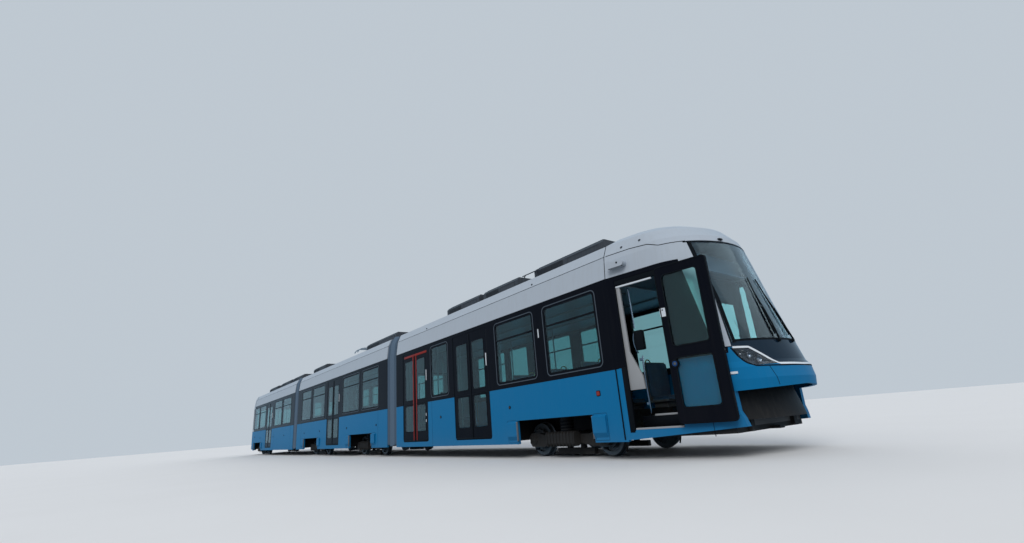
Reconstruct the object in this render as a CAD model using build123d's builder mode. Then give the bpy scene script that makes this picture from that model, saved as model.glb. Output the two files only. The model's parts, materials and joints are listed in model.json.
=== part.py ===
"""Three-section low-floor tram: four bogies, two articulations and a folding current collector."""

import os
from math import atan, cos, sin, sqrt

from build123d import *

os.makedirs("parts", exist_ok=True)

# Millimetres. +X points to the cab, +Y to the left side, +Z up.
# The origin is on the floor under the middle of the tram's length.

# Overall sizes
length = 33000
width = 2650
middle_length = 11000

# Heights, and how far the body leans in at the roof
skirt_z = 270
sill_z = 390
belt_z = 1370
band_top_z = 2870
roof_seam_z = 3270
shoulder_z = 3480
crown_z = 3540
seam_lean = 50
shoulder_lean = 145

# Wall thicknesses and fits
wall = 60
roof_wall = 50
cab_wall = 50
screen_t = 20
seat_gap = 0.3
running_gap = 0.1
moving_gap = 8

# Floor, and the wells over the bogies
floor_t = 70
aisle_half = 480
aisle_rise = 100
well_rise = 350
plate_t = 40
wheel_room = 75
ramp_length = 600
pad_size = 180
pad_t = 40

# Articulation
end_gap = 330
hoop_half = 40
hoop_inset = 60
turntable_r = 620
turntable_t = 30
eye_r = 210
eye_t = 50
pivot_pin_r = 60
gangway_half = 640
gangway_h = 1960

# Bogies
wheelbase = 1800
tread_r = 300
flange_h = 25
wheel_w = 125
back_to_back = 1380
journal_r = 60
disc_r = 190
beam_t = 110
beam_gap = 85
bogie_offset_front = 7060
bogie_offset_middle = 2600
bogie_offset_rear = 8650
cross_half = 220
cross_z = (270, 430)
motor_half = 380
motor_w = 170
motor_r = 120
spring_r = 120
magnet_half = 480
magnet_z = (45, 150)

# Current collector, from the middle section's centre and above the roof's crown
base_pivot_x = 500
base_pivot_up = 200
knee_x = -900
knee_up = 240
head_x = 900
head_up = 300
frame_tube = 50
collector_half = 800
horn_drop = 150
strip_spacing = 300

# Doors and windows
door_w = 1500
front_doors_span = 4350
door_header = 80
leaf_t = 40
leaf_inset = 8
glass_t = 12
glass_inset = 5
pane_margin_low = 130
pane_margin_high = 150
leaf_glass_low = (650, 1330)
leaf_glass_high = (1480, 2560)
leaf_outer_frame = 150
leaf_inner_frame = 100
corner_r = 60

# Bogie openings in the skirt, with a bulging cover at each end
bogie_cut_half = 1030
bogie_cut_top = 710
cover_length = 300
cover_proud = 35

# Cab: its sides taper from the seam to the nose, and its front is bowed in plan
cab_length = 2220
cab_taper = 0.145
corner_run = 300
front_bow = 220
corner_share = 0.3
bow_share = 0.15
corner_limit = 0.36
bow_limit = 0.24
nose_split = 550
doorway = (140, 940)
front_leaf_w = 820
leaf_slide = 790
front_leaf_z = (480, 2780)
front_glass_low = (700, 1395)
front_glass_high = (1560, 2640)
front_leaf_stand = 45
front_leaf_stiles = (105, 165)
strip_z = (400, 510)
screen_low_z = 1520
screen_top_z = 3165
nose_top_z = 1460
pillar_w = 170
cab_floor_back = 650
cab_window = (330, 1120)
apron_t = 40
apron_levels = [(480, 240, 60, 0), (930, 360, 80, 0)]
pod_back = 1960
pod_z = 3035
pod_reach = 110
partition_back = 1250
seat_back = 1045
desk_back = 620

# The windscreen's rear edge from its foot to its top: (distance behind the nose, z)
screen_edge = [(515, nose_top_z), (640, 2190), (900, screen_top_z)]
# The wavy seam from the section roof to the windscreen's top corner: (distance ahead of the cab seam, drop)
dome_seam = [(0, 0), (480, 0), (810, 30), (990, 103), (cab_length - 900, roof_seam_z - screen_top_z)]
# Cab outline by height: (z, tip behind the nose, inset of the side at the seam, back ahead of the seam)
cab_levels = [
    (skirt_z - 20, 100, 0, 0),
    (780, 30, 0, 0),
    (1000, 0, 0, 0),
    (1160, 25, 0, 0),
    (1240, 85, 0, 0),
    (nose_top_z, 150, 0, 0),
    (2200, 365, 0, 0),
    (band_top_z, 545, 0, 0),
    (screen_top_z, 620, seam_lean / 2, 0),
    (roof_seam_z, 660, seam_lean, 0),
    (shoulder_z, 840, shoulder_lean, 0),
    (shoulder_z + 100, 1050, shoulder_lean + 150, 170),
    (shoulder_z + 150, 1320, shoulder_lean + 330, 420),
]
# Tail outline by height: (z, tip ahead of the tail, inset of the side, back)
tail_length = 1000
tail_taper = 0.02
tail_levels = [
    (skirt_z + 60, 90, 0, 0),
    (1000, 0, 0, 0),
    (belt_z, 20, 0, 0),
    (band_top_z, 190, 0, 0),
    (roof_seam_z, 300, seam_lean, 0),
    (shoulder_z, 460, shoulder_lean, 0),
]
tail_floor_back = 650
rear_screen_side = 275
rear_screen_low = 110
# Outlines in the YZ plane for one half: light brow over the nose, headlamp under it, bumper's lower edge
brow = [(0, 1180), (490, 1190), (770, 1440), (1400, nose_top_z)]
lamp = [(505, 1175), (775, 1420), (930, 1432), (905, 1318), (855, 1212), (800, 1172)]
bumper_edge = [(0, 895), (400, 880), (1400, 840)]

# Passenger seats, roof boxes and collector frame
seat_pitch = 1000
seat_inner = 560
seat_outer_gap = 60
seat_depth = 440
cushion_t = 80
backrest_h = 670
backrest_t = 70
box_up = 50
box_h = 240
box_half = 820
box_chamfer = 60

# What follows from the sizes above
nose_x = length / 2
tail_x = -length / 2
front_pivot_x = middle_length / 2
rear_pivot_x = -middle_length / 2
half_width = width / 2
inner_half = half_width - wall - seat_gap
door_top_z = band_top_z - door_header
pane_z = (belt_z + pane_margin_low, band_top_z - pane_margin_high)
gangway_top_z = sill_z + gangway_h
axle_z = tread_r + flange_h
wheel_inner_y = back_to_back / 2
wheel_outer_y = wheel_inner_y + wheel_w
beam_y = wheel_outer_y + beam_gap
beam_outer_y = beam_y + beam_t
spring_y = beam_y + beam_t / 2
aisle_z = sill_z + aisle_rise
well_top_z = sill_z + well_rise
well_half_length = wheelbase / 2 + tread_r + flange_h + wheel_room
floor_low_z = sill_z - floor_t
cab_seam_x = nose_x - cab_length
nose_split_x = nose_x - nose_split
cab_floor_end = nose_x - cab_floor_back
tail_seam_x = tail_x + tail_length
tail_floor_end = tail_x + tail_floor_back
far_y = half_width + 300
far_x = nose_x + 200
sky_z = crown_z + 500

front_bogie_x = front_pivot_x + bogie_offset_front
rear_bogie_x = rear_pivot_x - bogie_offset_rear
middle_bogie_xs = [front_pivot_x - bogie_offset_middle, rear_pivot_x + bogie_offset_middle]
bogie_xs = [front_bogie_x, *middle_bogie_xs, rear_bogie_x]


def bays(start, direction, end, row):
    """Doors and windows along a wall, from a row of (kind, width); a window without a width runs to the end."""
    found = {"gap": [], "door": [], "window": []}
    x = start
    for kind, bay_w in row:
        stop = end if bay_w is None else x + direction * bay_w
        found[kind].append(tuple(sorted((x, stop))))
        x = stop
    return found["door"], found["window"]


front_doors, front_windows = bays(front_pivot_x, 1, cab_seam_x - 350, [
    ("gap", 790), ("door", door_w), ("gap", 240), ("window", front_doors_span - 2 * door_w - 240 - 280),
    ("gap", 280), ("door", door_w),
    ("gap", 360), ("window", 1240), ("gap", 390), ("window", None),
])
rear_doors, rear_windows = bays(rear_pivot_x, -1, tail_seam_x + 100, [
    ("gap", 1000), ("window", 1600), ("gap", 300), ("window", 1600), ("gap", 450), ("door", door_w),
    ("gap", 350), ("window", 1500), ("gap", 300), ("window", None),
])
middle_row = [("gap", door_w / 2 + 350), ("window", 1650), ("gap", 300), ("window", None)]
middle_doors = [(-door_w / 2, door_w / 2)]
middle_windows = [
    window
    for direction, pivot in ((1, front_pivot_x), (-1, rear_pivot_x))
    for window in bays(0, direction, pivot - direction * (end_gap + 720), middle_row)[1]
]

# Each section: name, back x, front x, doors, windows, bogie centres, gangway ends as (x, inward direction)
sections = [
    ("front", front_pivot_x + end_gap, cab_seam_x, front_doors, front_windows, [front_bogie_x],
     [(front_pivot_x + end_gap, 1)]),
    ("middle", rear_pivot_x + end_gap, front_pivot_x - end_gap, middle_doors, middle_windows, middle_bogie_xs,
     [(rear_pivot_x + end_gap, 1), (front_pivot_x - end_gap, -1)]),
    ("rear", tail_seam_x, rear_pivot_x - end_gap, rear_doors, rear_windows, [rear_bogie_x],
     [(rear_pivot_x - end_gap, -1)]),
]


def save(part, name):
    part.label = name
    export_step(part, f"parts/{name}.step")


def slab(x0, x1, y0, y1, z0, z1, mode=Mode.ADD):
    """A box from its low and high corners, added to the piece being built."""
    with Locations(((x0 + x1) / 2, (y0 + y1) / 2, (z0 + z1) / 2)):
        Box(x1 - x0, y1 - y0, z1 - z0, mode=mode)


def cab_half(x):
    """Half of the cab's width at x."""
    return half_width - cab_taper * (x - cab_seam_x)


# The cab's tapered right side: local X runs forward along it from the seam, local Y is up, Z is outward
cab_side = Plane(origin=(cab_seam_x, -half_width, 0), x_dir=(1, cab_taper, 0), z_dir=(cab_taper, -1, 0))
# The left side is the same, but local X runs backward
cab_left = Plane(origin=(cab_seam_x, half_width, 0), x_dir=(-1, cab_taper, 0), z_dir=(cab_taper, 1, 0))


def side_slab(s0, s1, z0, z1, out0, out1, mode=Mode.ADD):
    """A box on the cab's right side, from s0 to s1 along it and from out0 to out1 outward."""
    middle = Location(((s0 + s1) / 2, (z0 + z1) / 2, (out0 + out1) / 2))
    with Locations(cab_side.location * middle):
        Box(s1 - s0, z1 - z0, out1 - out0, mode=mode)


def side_plane(side, outer_y):
    """The XZ plane on which a wall is drawn, so that a wall drawn on it ends at outer_y."""
    return Plane.XZ.offset(-outer_y if side > 0 else outer_y - wall)


def window_hole(x0, x1, z0, z1, clearance=0.0, radius=corner_r, mode=Mode.SUBTRACT):
    with Locations(((x0 + x1) / 2, (z0 + z1) / 2)):
        RectangleRounded(x1 - x0 - 2 * clearance, z1 - z0 - 2 * clearance, radius - clearance, mode=mode)


def leaf_glass_spans(a, b):
    """First and last x of the glass in each of the two leaves between the jambs a and b."""
    middle = (a + b) / 2
    return (a + leaf_outer_frame, middle - leaf_inner_frame), (middle + leaf_inner_frame, b - leaf_outer_frame)


# Lower side panels with their door and bogie openings and the covers beside each bogie
def side_panels(x0, x1, doors, bogies):
    with BuildPart() as panels:
        for side in (-1, 1):
            with BuildSketch(side_plane(side, half_width)):
                with Locations(((x0 + x1) / 2, (skirt_z + belt_z) / 2)):
                    Rectangle(x1 - x0, belt_z - skirt_z)
                if side < 0:
                    for a, b in doors:
                        with Locations(((a + b) / 2, (sill_z + belt_z + corner_r) / 2)):
                            RectangleRounded(b - a, belt_z - sill_z + corner_r, corner_r, mode=Mode.SUBTRACT)
                for centre in bogies:
                    with Locations((centre, bogie_cut_top / 2)):
                        Rectangle(2 * bogie_cut_half, bogie_cut_top, mode=Mode.SUBTRACT)
            extrude(amount=wall)
            inner, outer = side * (half_width - wall / 2), side * (half_width + cover_proud)
            for centre in bogies:
                for x in (centre - bogie_cut_half - cover_length, centre + bogie_cut_half):
                    with BuildSketch(Plane.YZ.offset(x)):
                        with BuildLine():
                            Polyline((inner, bogie_cut_top), (outer, bogie_cut_top - 40), (outer, skirt_z + 150),
                                     (inner, skirt_z + 10), close=True)
                        make_face()
                    extrude(amount=cover_length)
    return panels.part


# The dark band of windows above the panels; the left side has a window where the right side has a door
def window_band(x0, x1, doors, windows):
    with BuildPart() as band:
        for side in (-1, 1):
            with BuildSketch(side_plane(side, half_width)):
                with Locations(((x0 + x1) / 2, (belt_z + band_top_z) / 2)):
                    Rectangle(x1 - x0, band_top_z - belt_z)
                for a, b in doors:
                    if side < 0:
                        with Locations(((a + b) / 2, (belt_z - corner_r + door_top_z) / 2)):
                            RectangleRounded(b - a, door_top_z - belt_z + corner_r, corner_r, mode=Mode.SUBTRACT)
                    else:
                        window_hole(a, b, *pane_z)
                for a, b in windows:
                    window_hole(a, b, *pane_z)
            extrude(amount=wall)
    return band.part


def window_panes(doors, windows, with_cab=False):
    """Window panes, the two panes of each door leaf, and those of the cab window and its open door."""
    with BuildPart() as panes:
        outer = half_width - glass_inset
        for side, plane in ((-1, Plane.XZ.offset(outer - glass_t)), (1, Plane.XZ.offset(-outer))):
            with BuildSketch(plane):
                for a, b in windows + (doors if side > 0 else []):
                    window_hole(a, b, *pane_z, seat_gap, mode=Mode.ADD)
                if side < 0:
                    for a, b in doors:
                        for c, d in leaf_glass_spans(a, b):
                            for z0, z1 in (leaf_glass_low, leaf_glass_high):
                                window_hole(c, d, z0, z1, seat_gap, mode=Mode.ADD)
            extrude(amount=glass_t)
        if with_cab:
            with BuildSketch(cab_left.offset(-glass_inset - glass_t)):
                window_hole(-cab_window[1], -cab_window[0], *pane_z, seat_gap, mode=Mode.ADD)
            extrude(amount=glass_t)
            with BuildSketch(cab_side.offset(front_leaf_stand + (leaf_t - glass_t) / 2)):
                for z0, z1 in (front_glass_low, front_glass_high):
                    window_hole(*front_glass_x, z0, z1, seat_gap, mode=Mode.ADD)
            extrude(amount=glass_t)
    return panes.part


def door_leaves(doors):
    with BuildPart() as leaves:
        with BuildSketch(Plane.XZ.offset(half_width - leaf_inset - leaf_t)):
            for a, b in doors:
                with Locations(((a + b) / 2, (sill_z + door_top_z) / 2)):
                    RectangleRounded(b - a - 2 * seat_gap, door_top_z - sill_z - 2 * seat_gap, corner_r - seat_gap)
                    Rectangle(2 * seat_gap, door_top_z - sill_z, mode=Mode.SUBTRACT)
                for c, d in leaf_glass_spans(a, b):
                    for z0, z1 in (leaf_glass_low, leaf_glass_high):
                        window_hole(c, d, z0, z1)
        extrude(amount=leaf_t)
    return leaves.part


def roof_points(inset):
    """The roof's arch from one cant rail over the crown to the other."""
    half = [
        (half_width - inset, band_top_z),
        (half_width - seam_lean - inset, roof_seam_z),
        (half_width - shoulder_lean - inset, shoulder_z - inset * 0.6),
    ]
    return [(-y, z) for y, z in half] + [(0, crown_z - inset)] + half[::-1]


def roof_z(y):
    """Height of the roof's outer face at y, between the crown and the shoulder."""
    return crown_z - (crown_z - shoulder_z) * abs(y) / (half_width - shoulder_lean)


# Roof of a section: an arched shell with a ceiling, and an end wall round each gangway opening
def section_roof(x0, x1, gangway_ends):
    with BuildPart() as roof:
        for inset, mode in ((0, Mode.ADD), (roof_wall, Mode.SUBTRACT)):
            with BuildSketch(Plane.YZ.offset(x0)):
                with BuildLine():
                    Polyline(*roof_points(inset), close=True)
                make_face()
            extrude(amount=x1 - x0, mode=mode)
        slab(x0, x1, -inner_half, inner_half, door_top_z, band_top_z)
        for x, inward in gangway_ends:
            a, b = sorted((x, x + inward * wall))
            slab(a, b, -inner_half, inner_half, sill_z, door_top_z)
            slab(a, b, -gangway_half, gangway_half, sill_z, gangway_top_z, mode=Mode.SUBTRACT)
    return roof.part


# Floor of a section, with a raised well and a pivot pin over each bogie. At an articulation the middle
# section's pin passes through the other section's eye and carries the turntable.
def section_floor(name, x0, x1, bogies, pivots, pads):
    low_z = floor_low_z
    with BuildPart() as floor:
        slab(x0, min(x1, cab_seam_x), -inner_half, inner_half, low_z, sill_z)
        if name == "front":
            add(cab_floor)
        for centre in bogies:
            a, b = centre - well_half_length, centre + well_half_length
            slab(a, b, -inner_half, inner_half, low_z, sill_z, mode=Mode.SUBTRACT)
            slab(a - plate_t, b + plate_t, -inner_half, inner_half, low_z, well_top_z)
            slab(a, b, -inner_half, inner_half, low_z, well_top_z - plate_t, mode=Mode.SUBTRACT)
            slab(a - plate_t, b + plate_t, -aisle_half - plate_t, aisle_half + plate_t, low_z, well_top_z)
            slab(a, b, -aisle_half - plate_t, aisle_half + plate_t, low_z, aisle_z - plate_t, mode=Mode.SUBTRACT)
            slab(a - plate_t, b + plate_t, -aisle_half, aisle_half, aisle_z, well_top_z, mode=Mode.SUBTRACT)
            for end, direction in ((a - plate_t, -1), (b + plate_t, 1)):
                ramp_end = min(max(end + direction * ramp_length, x0), x1)
                with BuildSketch(Plane.XZ.offset(-aisle_half)):
                    with BuildLine():
                        Polyline((end, sill_z), (end, aisle_z), (ramp_end, sill_z), close=True)
                    make_face()
                extrude(amount=2 * aisle_half)
            with BuildSketch(Plane.XY.offset(aisle_z - plate_t)):
                with Locations((centre, 0)):
                    Circle(pivot_pin_r)
            extrude(amount=cross_z[0] + 60 - aisle_z)
        for pivot, direction, level in pivots:
            with BuildSketch(Plane.XY.offset(low_z)):
                with Locations((pivot, 0)):
                    Circle(turntable_r + moving_gap)
            extrude(amount=floor_t, mode=Mode.SUBTRACT)
            top = low_z - level * (eye_t + moving_gap)
            edge = pivot + direction * (turntable_r + moving_gap + 20)
            slab(*sorted((pivot, edge)), -eye_r, eye_r, top - eye_t, top)
            slab(*sorted((edge - direction * 60, edge + direction * 300)), -eye_r, eye_r, top - eye_t, low_z)
            with BuildSketch(Plane.XY.offset(top - eye_t)):
                with Locations((pivot, 0)):
                    Circle(eye_r)
            extrude(amount=eye_t)
            with BuildSketch(Plane.XY.offset(top - eye_t)):
                with Locations((pivot, 0)):
                    Circle(pivot_pin_r + running_gap)
            extrude(amount=eye_t, mode=Mode.SUBTRACT)
            if level:
                with BuildSketch(Plane.XY.offset(top - eye_t)):
                    with Locations((pivot, 0)):
                        Circle(pivot_pin_r)
                extrude(amount=sill_z - turntable_t - seat_gap - top + eye_t)
                with BuildSketch(Plane.XY.offset(top - eye_t)):
                    with Locations((pivot, 0)):
                        Circle(pivot_pin_r + 5)
                extrude(amount=eye_t)
        for x in pads:
            for side in (-1, 1):
                y0, y1 = sorted((side * (inner_half - pad_size), side * inner_half))
                slab(x - pad_size / 2, x + pad_size / 2, y0, y1, low_z - pad_t, low_z)
        for end, direction in tow_ends.get(name, []):
            tip = end + direction * tow_reach
            slab(*sorted((end - direction * tow_root, tip)), -tow_half, tow_half, low_z, low_z + tow_t)
            with BuildSketch(Plane.XY.offset(low_z)):
                with Locations((tip - direction * tow_half, 0)):
                    Circle(tow_pin_r)
            extrude(amount=tow_t, mode=Mode.SUBTRACT)
    return floor.part


# Gangway between two sections: the floor turntable with the hoop that holds the bellows at mid-span
def gangway(pivot):
    low_z = sill_z - turntable_t
    outer_y, outer_z = half_width - hoop_inset, roof_seam_z - hoop_inset
    with BuildPart() as frame:
        with BuildSketch(Plane.XY.offset(low_z)):
            with Locations((pivot, 0)):
                Circle(turntable_r)
        extrude(amount=turntable_t)
        slab(pivot - hoop_half, pivot + hoop_half, -outer_y, outer_y, low_z, outer_z)
        slab(pivot - hoop_half, pivot + hoop_half, -gangway_half, gangway_half, sill_z, gangway_top_z,
             mode=Mode.SUBTRACT)
    return frame.part


# The solid inside the body's end, lofted through the plan outline at each height
def end_block(levels, end_x, seam_x, taper, direction, inset=0.0):
    with BuildPart() as block:
        for row, (z, setback, side_inset, back_run) in enumerate(levels):
            lift = 0 if not inset else -5 if row == 0 else -inset if row == len(levels) - 1 else 0
            run = back_run - (5 if inset else 0)
            back = seam_x + direction * run
            side = half_width - side_inset - inset - taper * run
            tip = end_x - direction * (setback + inset)
            front = side - taper * abs(tip - back)
            corner = min(corner_run, corner_share * abs(tip - back), corner_limit * front)
            bow = min(front_bow, bow_share * abs(tip - back), bow_limit * front)
            bow_x = tip - direction * bow
            edge_y = side - taper * direction * (bow_x - back) - corner
            # The corner arc is tangent to the side and to the bowed front
            bow_turn = 2 * atan(bow / edge_y)
            reach = corner / (cos(bow_turn) - taper * sin(bow_turn))
            corner_x = bow_x - direction * reach * sin(bow_turn)
            corner_y = edge_y + reach * cos(bow_turn)
            along = sqrt(1 + taper**2)
            start = (corner_x - direction * reach / along, corner_y + reach * taper / along)
            with BuildSketch(Plane.XY.offset(z + lift)):
                with BuildLine():
                    Line((back, -side), (start[0], -start[1]))
                    TangentArc((start[0], -start[1]), (bow_x, -edge_y), tangent=(direction, taper))
                    ThreePointArc((bow_x, -edge_y), (tip, 0), (bow_x, edge_y))
                    TangentArc(start, (bow_x, edge_y), tangent=(direction, -taper))
                    Line(start, (back, side))
                    Line((back, side), (back, -side))
                make_face()
        loft(ruled=True)
    return block.part


def edge_x(z):
    """X of the windscreen's rear edge at height z."""
    low, middle, high = screen_edge
    (back0, z0), (back1, z1) = (low, middle) if z < middle[1] else (middle, high)
    return nose_x - back0 - (back1 - back0) * (z - z0) / (z1 - z0)


def edge_line(z0, z1, shift=0.0):
    """The windscreen's rear edge between two heights, as (x, z) points."""
    heights = [z0, *[z for _, z in screen_edge if z0 < z < z1], z1]
    return [(edge_x(z) + shift, z) for z in heights]


def side_region(points):
    """A solid across the whole width from an outline of (x, z) points."""
    with BuildPart() as region:
        with BuildSketch(Plane.XZ.offset(-far_y)):
            with BuildLine():
                Polyline(*points, close=True)
            make_face()
        extrude(amount=2 * far_y)
    return region.part


def front_region(outlines):
    """Solids along X through the nose from outlines of (y, z) points."""
    with BuildPart() as region:
        for points in outlines:
            with BuildSketch(Plane.YZ.offset(cab_seam_x)):
                with BuildLine():
                    Polyline(*points, close=True)
                make_face()
            extrude(amount=far_x - cab_seam_x)
    return region.part


def mirrored(points):
    """A line of (y, z) points that starts at y = 0, with its mirror image before it."""
    return [(-y, z) for y, z in points[:0:-1]] + points


# Towing brackets at both ends, with a vertical pin hole
tow_pin_r = 26
tow_t = 40
tow_half = 70
tow_reach = 140
tow_root = 300
tow_ends = {"front": [(cab_floor_end, 1)], "rear": [(tail_floor_end, -1)]}

pivots = {
    "front": [(front_pivot_x, 1, 0)],
    "middle": [(front_pivot_x, -1, 1), (rear_pivot_x, 1, 1)],
    "rear": [(rear_pivot_x, -1, 0)],
}
pad_xs = {
    "front": [front_pivot_x + 1000, cab_seam_x - 230],
    "middle": [rear_pivot_x + 650, front_pivot_x - 650],
    "rear": [rear_pivot_x - 1000, tail_floor_end + 130],
}
open_leaf = (doorway[1] - front_leaf_w + leaf_slide, doorway[1] + leaf_slide)
front_glass_x = (open_leaf[0] + front_leaf_stiles[0], open_leaf[1] - front_leaf_stiles[1])

# Cab shell: its outer and inner solids, and the floor inside it
cab_outer = end_block(cab_levels, nose_x, cab_seam_x, cab_taper, 1)
cab_inner = end_block(cab_levels, nose_x, cab_seam_x, cab_taper, 1, cab_wall)
screen_inner = end_block(cab_levels, nose_x, cab_seam_x, cab_taper, 1, screen_t)
with BuildPart() as cab_floor_block:
    add(end_block(cab_levels, nose_x, cab_seam_x, cab_taper, 1, cab_wall + seat_gap))
    with Locations(((cab_seam_x + cab_floor_end) / 2, 0, (floor_low_z + sill_z) / 2)):
        Box(cab_floor_end - cab_seam_x, width, floor_t, mode=Mode.INTERSECT)
cab_floor = cab_floor_block.part

for name, x0, x1, doors, windows, bogies, gangway_ends in sections:
    save(side_panels(x0, x1, doors, bogies), f"{name}_side_panels")
    save(window_band(x0, x1, doors, windows), f"{name}_window_band")
    save(window_panes(doors, windows, name == "front"), f"{name}_windows")
    save(door_leaves(doors), f"{name}_doors")
    save(section_roof(x0, x1, gangway_ends), f"{name}_roof")
    floor_x0 = tail_floor_end if name == "rear" else x0
    floor_x1 = cab_floor_end if name == "front" else x1
    save(section_floor(name, floor_x0, floor_x1, bogies, pivots[name], pad_xs[name]), f"{name}_floor")

save(gangway(front_pivot_x), "front_gangway")
save(gangway(rear_pivot_x), "rear_gangway")

# Cab shell, split where the real panels meet
brow_line = mirrored(brow)
above_brow = front_region([brow_line + [(far_y, sky_z), (-far_y, sky_z)]])
below_bumper = front_region([mirrored(bumper_edge) + [(far_y, 0), (-far_y, 0)]])
lamp_shape = front_region([lamp, [(-y, z) for y, z in lamp]])
nose_side = side_region([
    (nose_split_x + seat_gap, 0), (far_x, 0), (far_x, screen_low_z), *edge_line(nose_top_z, screen_low_z)[::-1],
    (nose_split_x + seat_gap, nose_top_z),
])
seam_line = [(cab_seam_x + run, roof_seam_z - drop) for run, drop in dome_seam]

with BuildPart() as nose_panel:
    add(cab_outer)
    add(cab_inner, mode=Mode.SUBTRACT)
    add(nose_side, mode=Mode.INTERSECT)
    add(above_brow, mode=Mode.SUBTRACT)
    add(below_bumper, mode=Mode.SUBTRACT)
    add(lamp_shape, mode=Mode.SUBTRACT)
save(nose_panel.part, "nose_panel")

with BuildPart() as headlamps:
    add(cab_outer)
    add(cab_inner, mode=Mode.SUBTRACT)
    add(nose_side, mode=Mode.INTERSECT)
    add(above_brow, mode=Mode.SUBTRACT)
    add(lamp_shape, mode=Mode.INTERSECT)
save(headlamps.part, "headlamps")

with BuildPart() as windscreen_mask:
    add(cab_outer)
    add(cab_inner, mode=Mode.SUBTRACT)
    add(nose_side, mode=Mode.INTERSECT)
    add(above_brow, mode=Mode.INTERSECT)
save(windscreen_mask.part, "windscreen_mask")

with BuildPart() as windscreen:
    add(cab_outer)
    add(screen_inner, mode=Mode.SUBTRACT)
    add(side_region([
        (far_x, screen_low_z + seat_gap), (far_x, screen_top_z - seat_gap),
        *edge_line(screen_low_z + seat_gap, screen_top_z - seat_gap, 1)[::-1],
    ]), mode=Mode.INTERSECT)
save(windscreen.part, "windscreen")

with BuildPart() as cab_lower_sides:
    add(cab_outer)
    add(cab_inner, mode=Mode.SUBTRACT)
    add(side_region([
        (cab_seam_x, skirt_z + 20), (nose_split_x + 50, strip_z[0]), (nose_split_x + 30, strip_z[1]),
        (nose_split_x, strip_z[1] + 90), (nose_split_x, belt_z), (cab_seam_x, belt_z),
    ]), mode=Mode.INTERSECT)
    side_slab(*doorway, sill_z + 50, door_top_z, -half_width, half_width / 2, mode=Mode.SUBTRACT)
save(cab_lower_sides.part, "cab_lower_sides")

with BuildPart() as cab_sides:
    add(cab_outer)
    add(cab_inner, mode=Mode.SUBTRACT)
    add(side_region([
        (cab_seam_x, belt_z), (nose_split_x, belt_z), (nose_split_x, nose_top_z),
        (edge_x(nose_top_z) - pillar_w, nose_top_z), (edge_x(band_top_z) - pillar_w, band_top_z),
        (cab_seam_x, band_top_z),
    ]), mode=Mode.INTERSECT)
    side_slab(*doorway, sill_z, door_top_z, -half_width, half_width / 2, mode=Mode.SUBTRACT)
    with BuildSketch(cab_left.offset(-half_width / 2)):
        window_hole(-cab_window[1], -cab_window[0], *pane_z, mode=Mode.ADD)
    extrude(amount=half_width, mode=Mode.SUBTRACT)
save(cab_sides.part, "cab_sides")

# White fascia under the dome, which runs down the pillars, with a camera pod on each shoulder
with BuildPart() as cab_fascia:
    add(cab_outer)
    add(cab_inner, mode=Mode.SUBTRACT)
    add(side_region([
        (cab_seam_x, band_top_z), (edge_x(band_top_z) - pillar_w + seat_gap, band_top_z),
        (edge_x(nose_top_z) - pillar_w + seat_gap, nose_top_z + seat_gap),
        *edge_line(nose_top_z + seat_gap, screen_top_z, -seat_gap), *seam_line[::-1],
    ]), mode=Mode.INTERSECT)
    for plane, sign in ((cab_side, 1), (cab_left, -1)):
        with BuildSketch(plane.offset(-wall)):
            with Locations((sign * (cab_length - pod_back), pod_z)):
                RectangleRounded(320, 100, 45)
        extrude(amount=wall + pod_reach)
save(cab_fascia.part, "cab_fascia")

with BuildPart() as cab_dome:
    add(cab_outer)
    add(cab_inner, mode=Mode.SUBTRACT)
    add(side_region([
        *[(x, z + seat_gap) for x, z in seam_line], (edge_x(screen_top_z), screen_top_z), (far_x, screen_top_z),
        (far_x, sky_z), (cab_seam_x, sky_z),
    ]), mode=Mode.INTERSECT)
save(cab_dome.part, "cab_dome")

# Black apron under the bumper, on a crossbar with two brackets from the floor
with BuildPart() as apron_bar_block:
    add(end_block(apron_levels, nose_x, cab_seam_x, cab_taper, 1))
    with Locations((cab_floor_end + seat_gap + 30, 0, apron_levels[0][0] + 30)):
        Box(60, width, 60, mode=Mode.INTERSECT)
apron_bar = apron_bar_block.part
with BuildPart() as apron:
    low_z, top_z = apron_levels[0][0], apron_levels[1][0]
    back_x = cab_floor_end + seat_gap
    add(end_block(apron_levels, nose_x, cab_seam_x, cab_taper, 1))
    hollow = [(z, setback + apron_t, side_inset + apron_t, 0) for z, setback, side_inset, _ in apron_levels]
    hollow[0] = (low_z - 20, *hollow[0][1:])
    hollow[-1] = (top_z + 20, *hollow[-1][1:])
    add(end_block(hollow, nose_x, cab_seam_x, cab_taper, 1), mode=Mode.SUBTRACT)
    slab(cab_seam_x - 100, back_x, -half_width, half_width, 0, sky_z, mode=Mode.SUBTRACT)
    add(apron_bar)
    for side in (-1, 1):
        y0, y1 = sorted((side * 600, side * 700))
        slab(back_x, back_x + 60, y0, y1, floor_low_z + 5, low_z + 30)
save(apron.part, "apron")

# The front door leaf, slid open ahead of its doorway, and the arms that carry it
with BuildPart() as front_door_leaf:
    with BuildSketch(cab_side.offset(front_leaf_stand)):
        with Locations((sum(open_leaf) / 2, sum(front_leaf_z) / 2)):
            RectangleRounded(front_leaf_w, front_leaf_z[1] - front_leaf_z[0], corner_r)
        for z0, z1 in (front_glass_low, front_glass_high):
            window_hole(*front_glass_x, z0, z1)
    extrude(amount=leaf_t)
save(front_door_leaf.part, "front_door_leaf")

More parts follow.
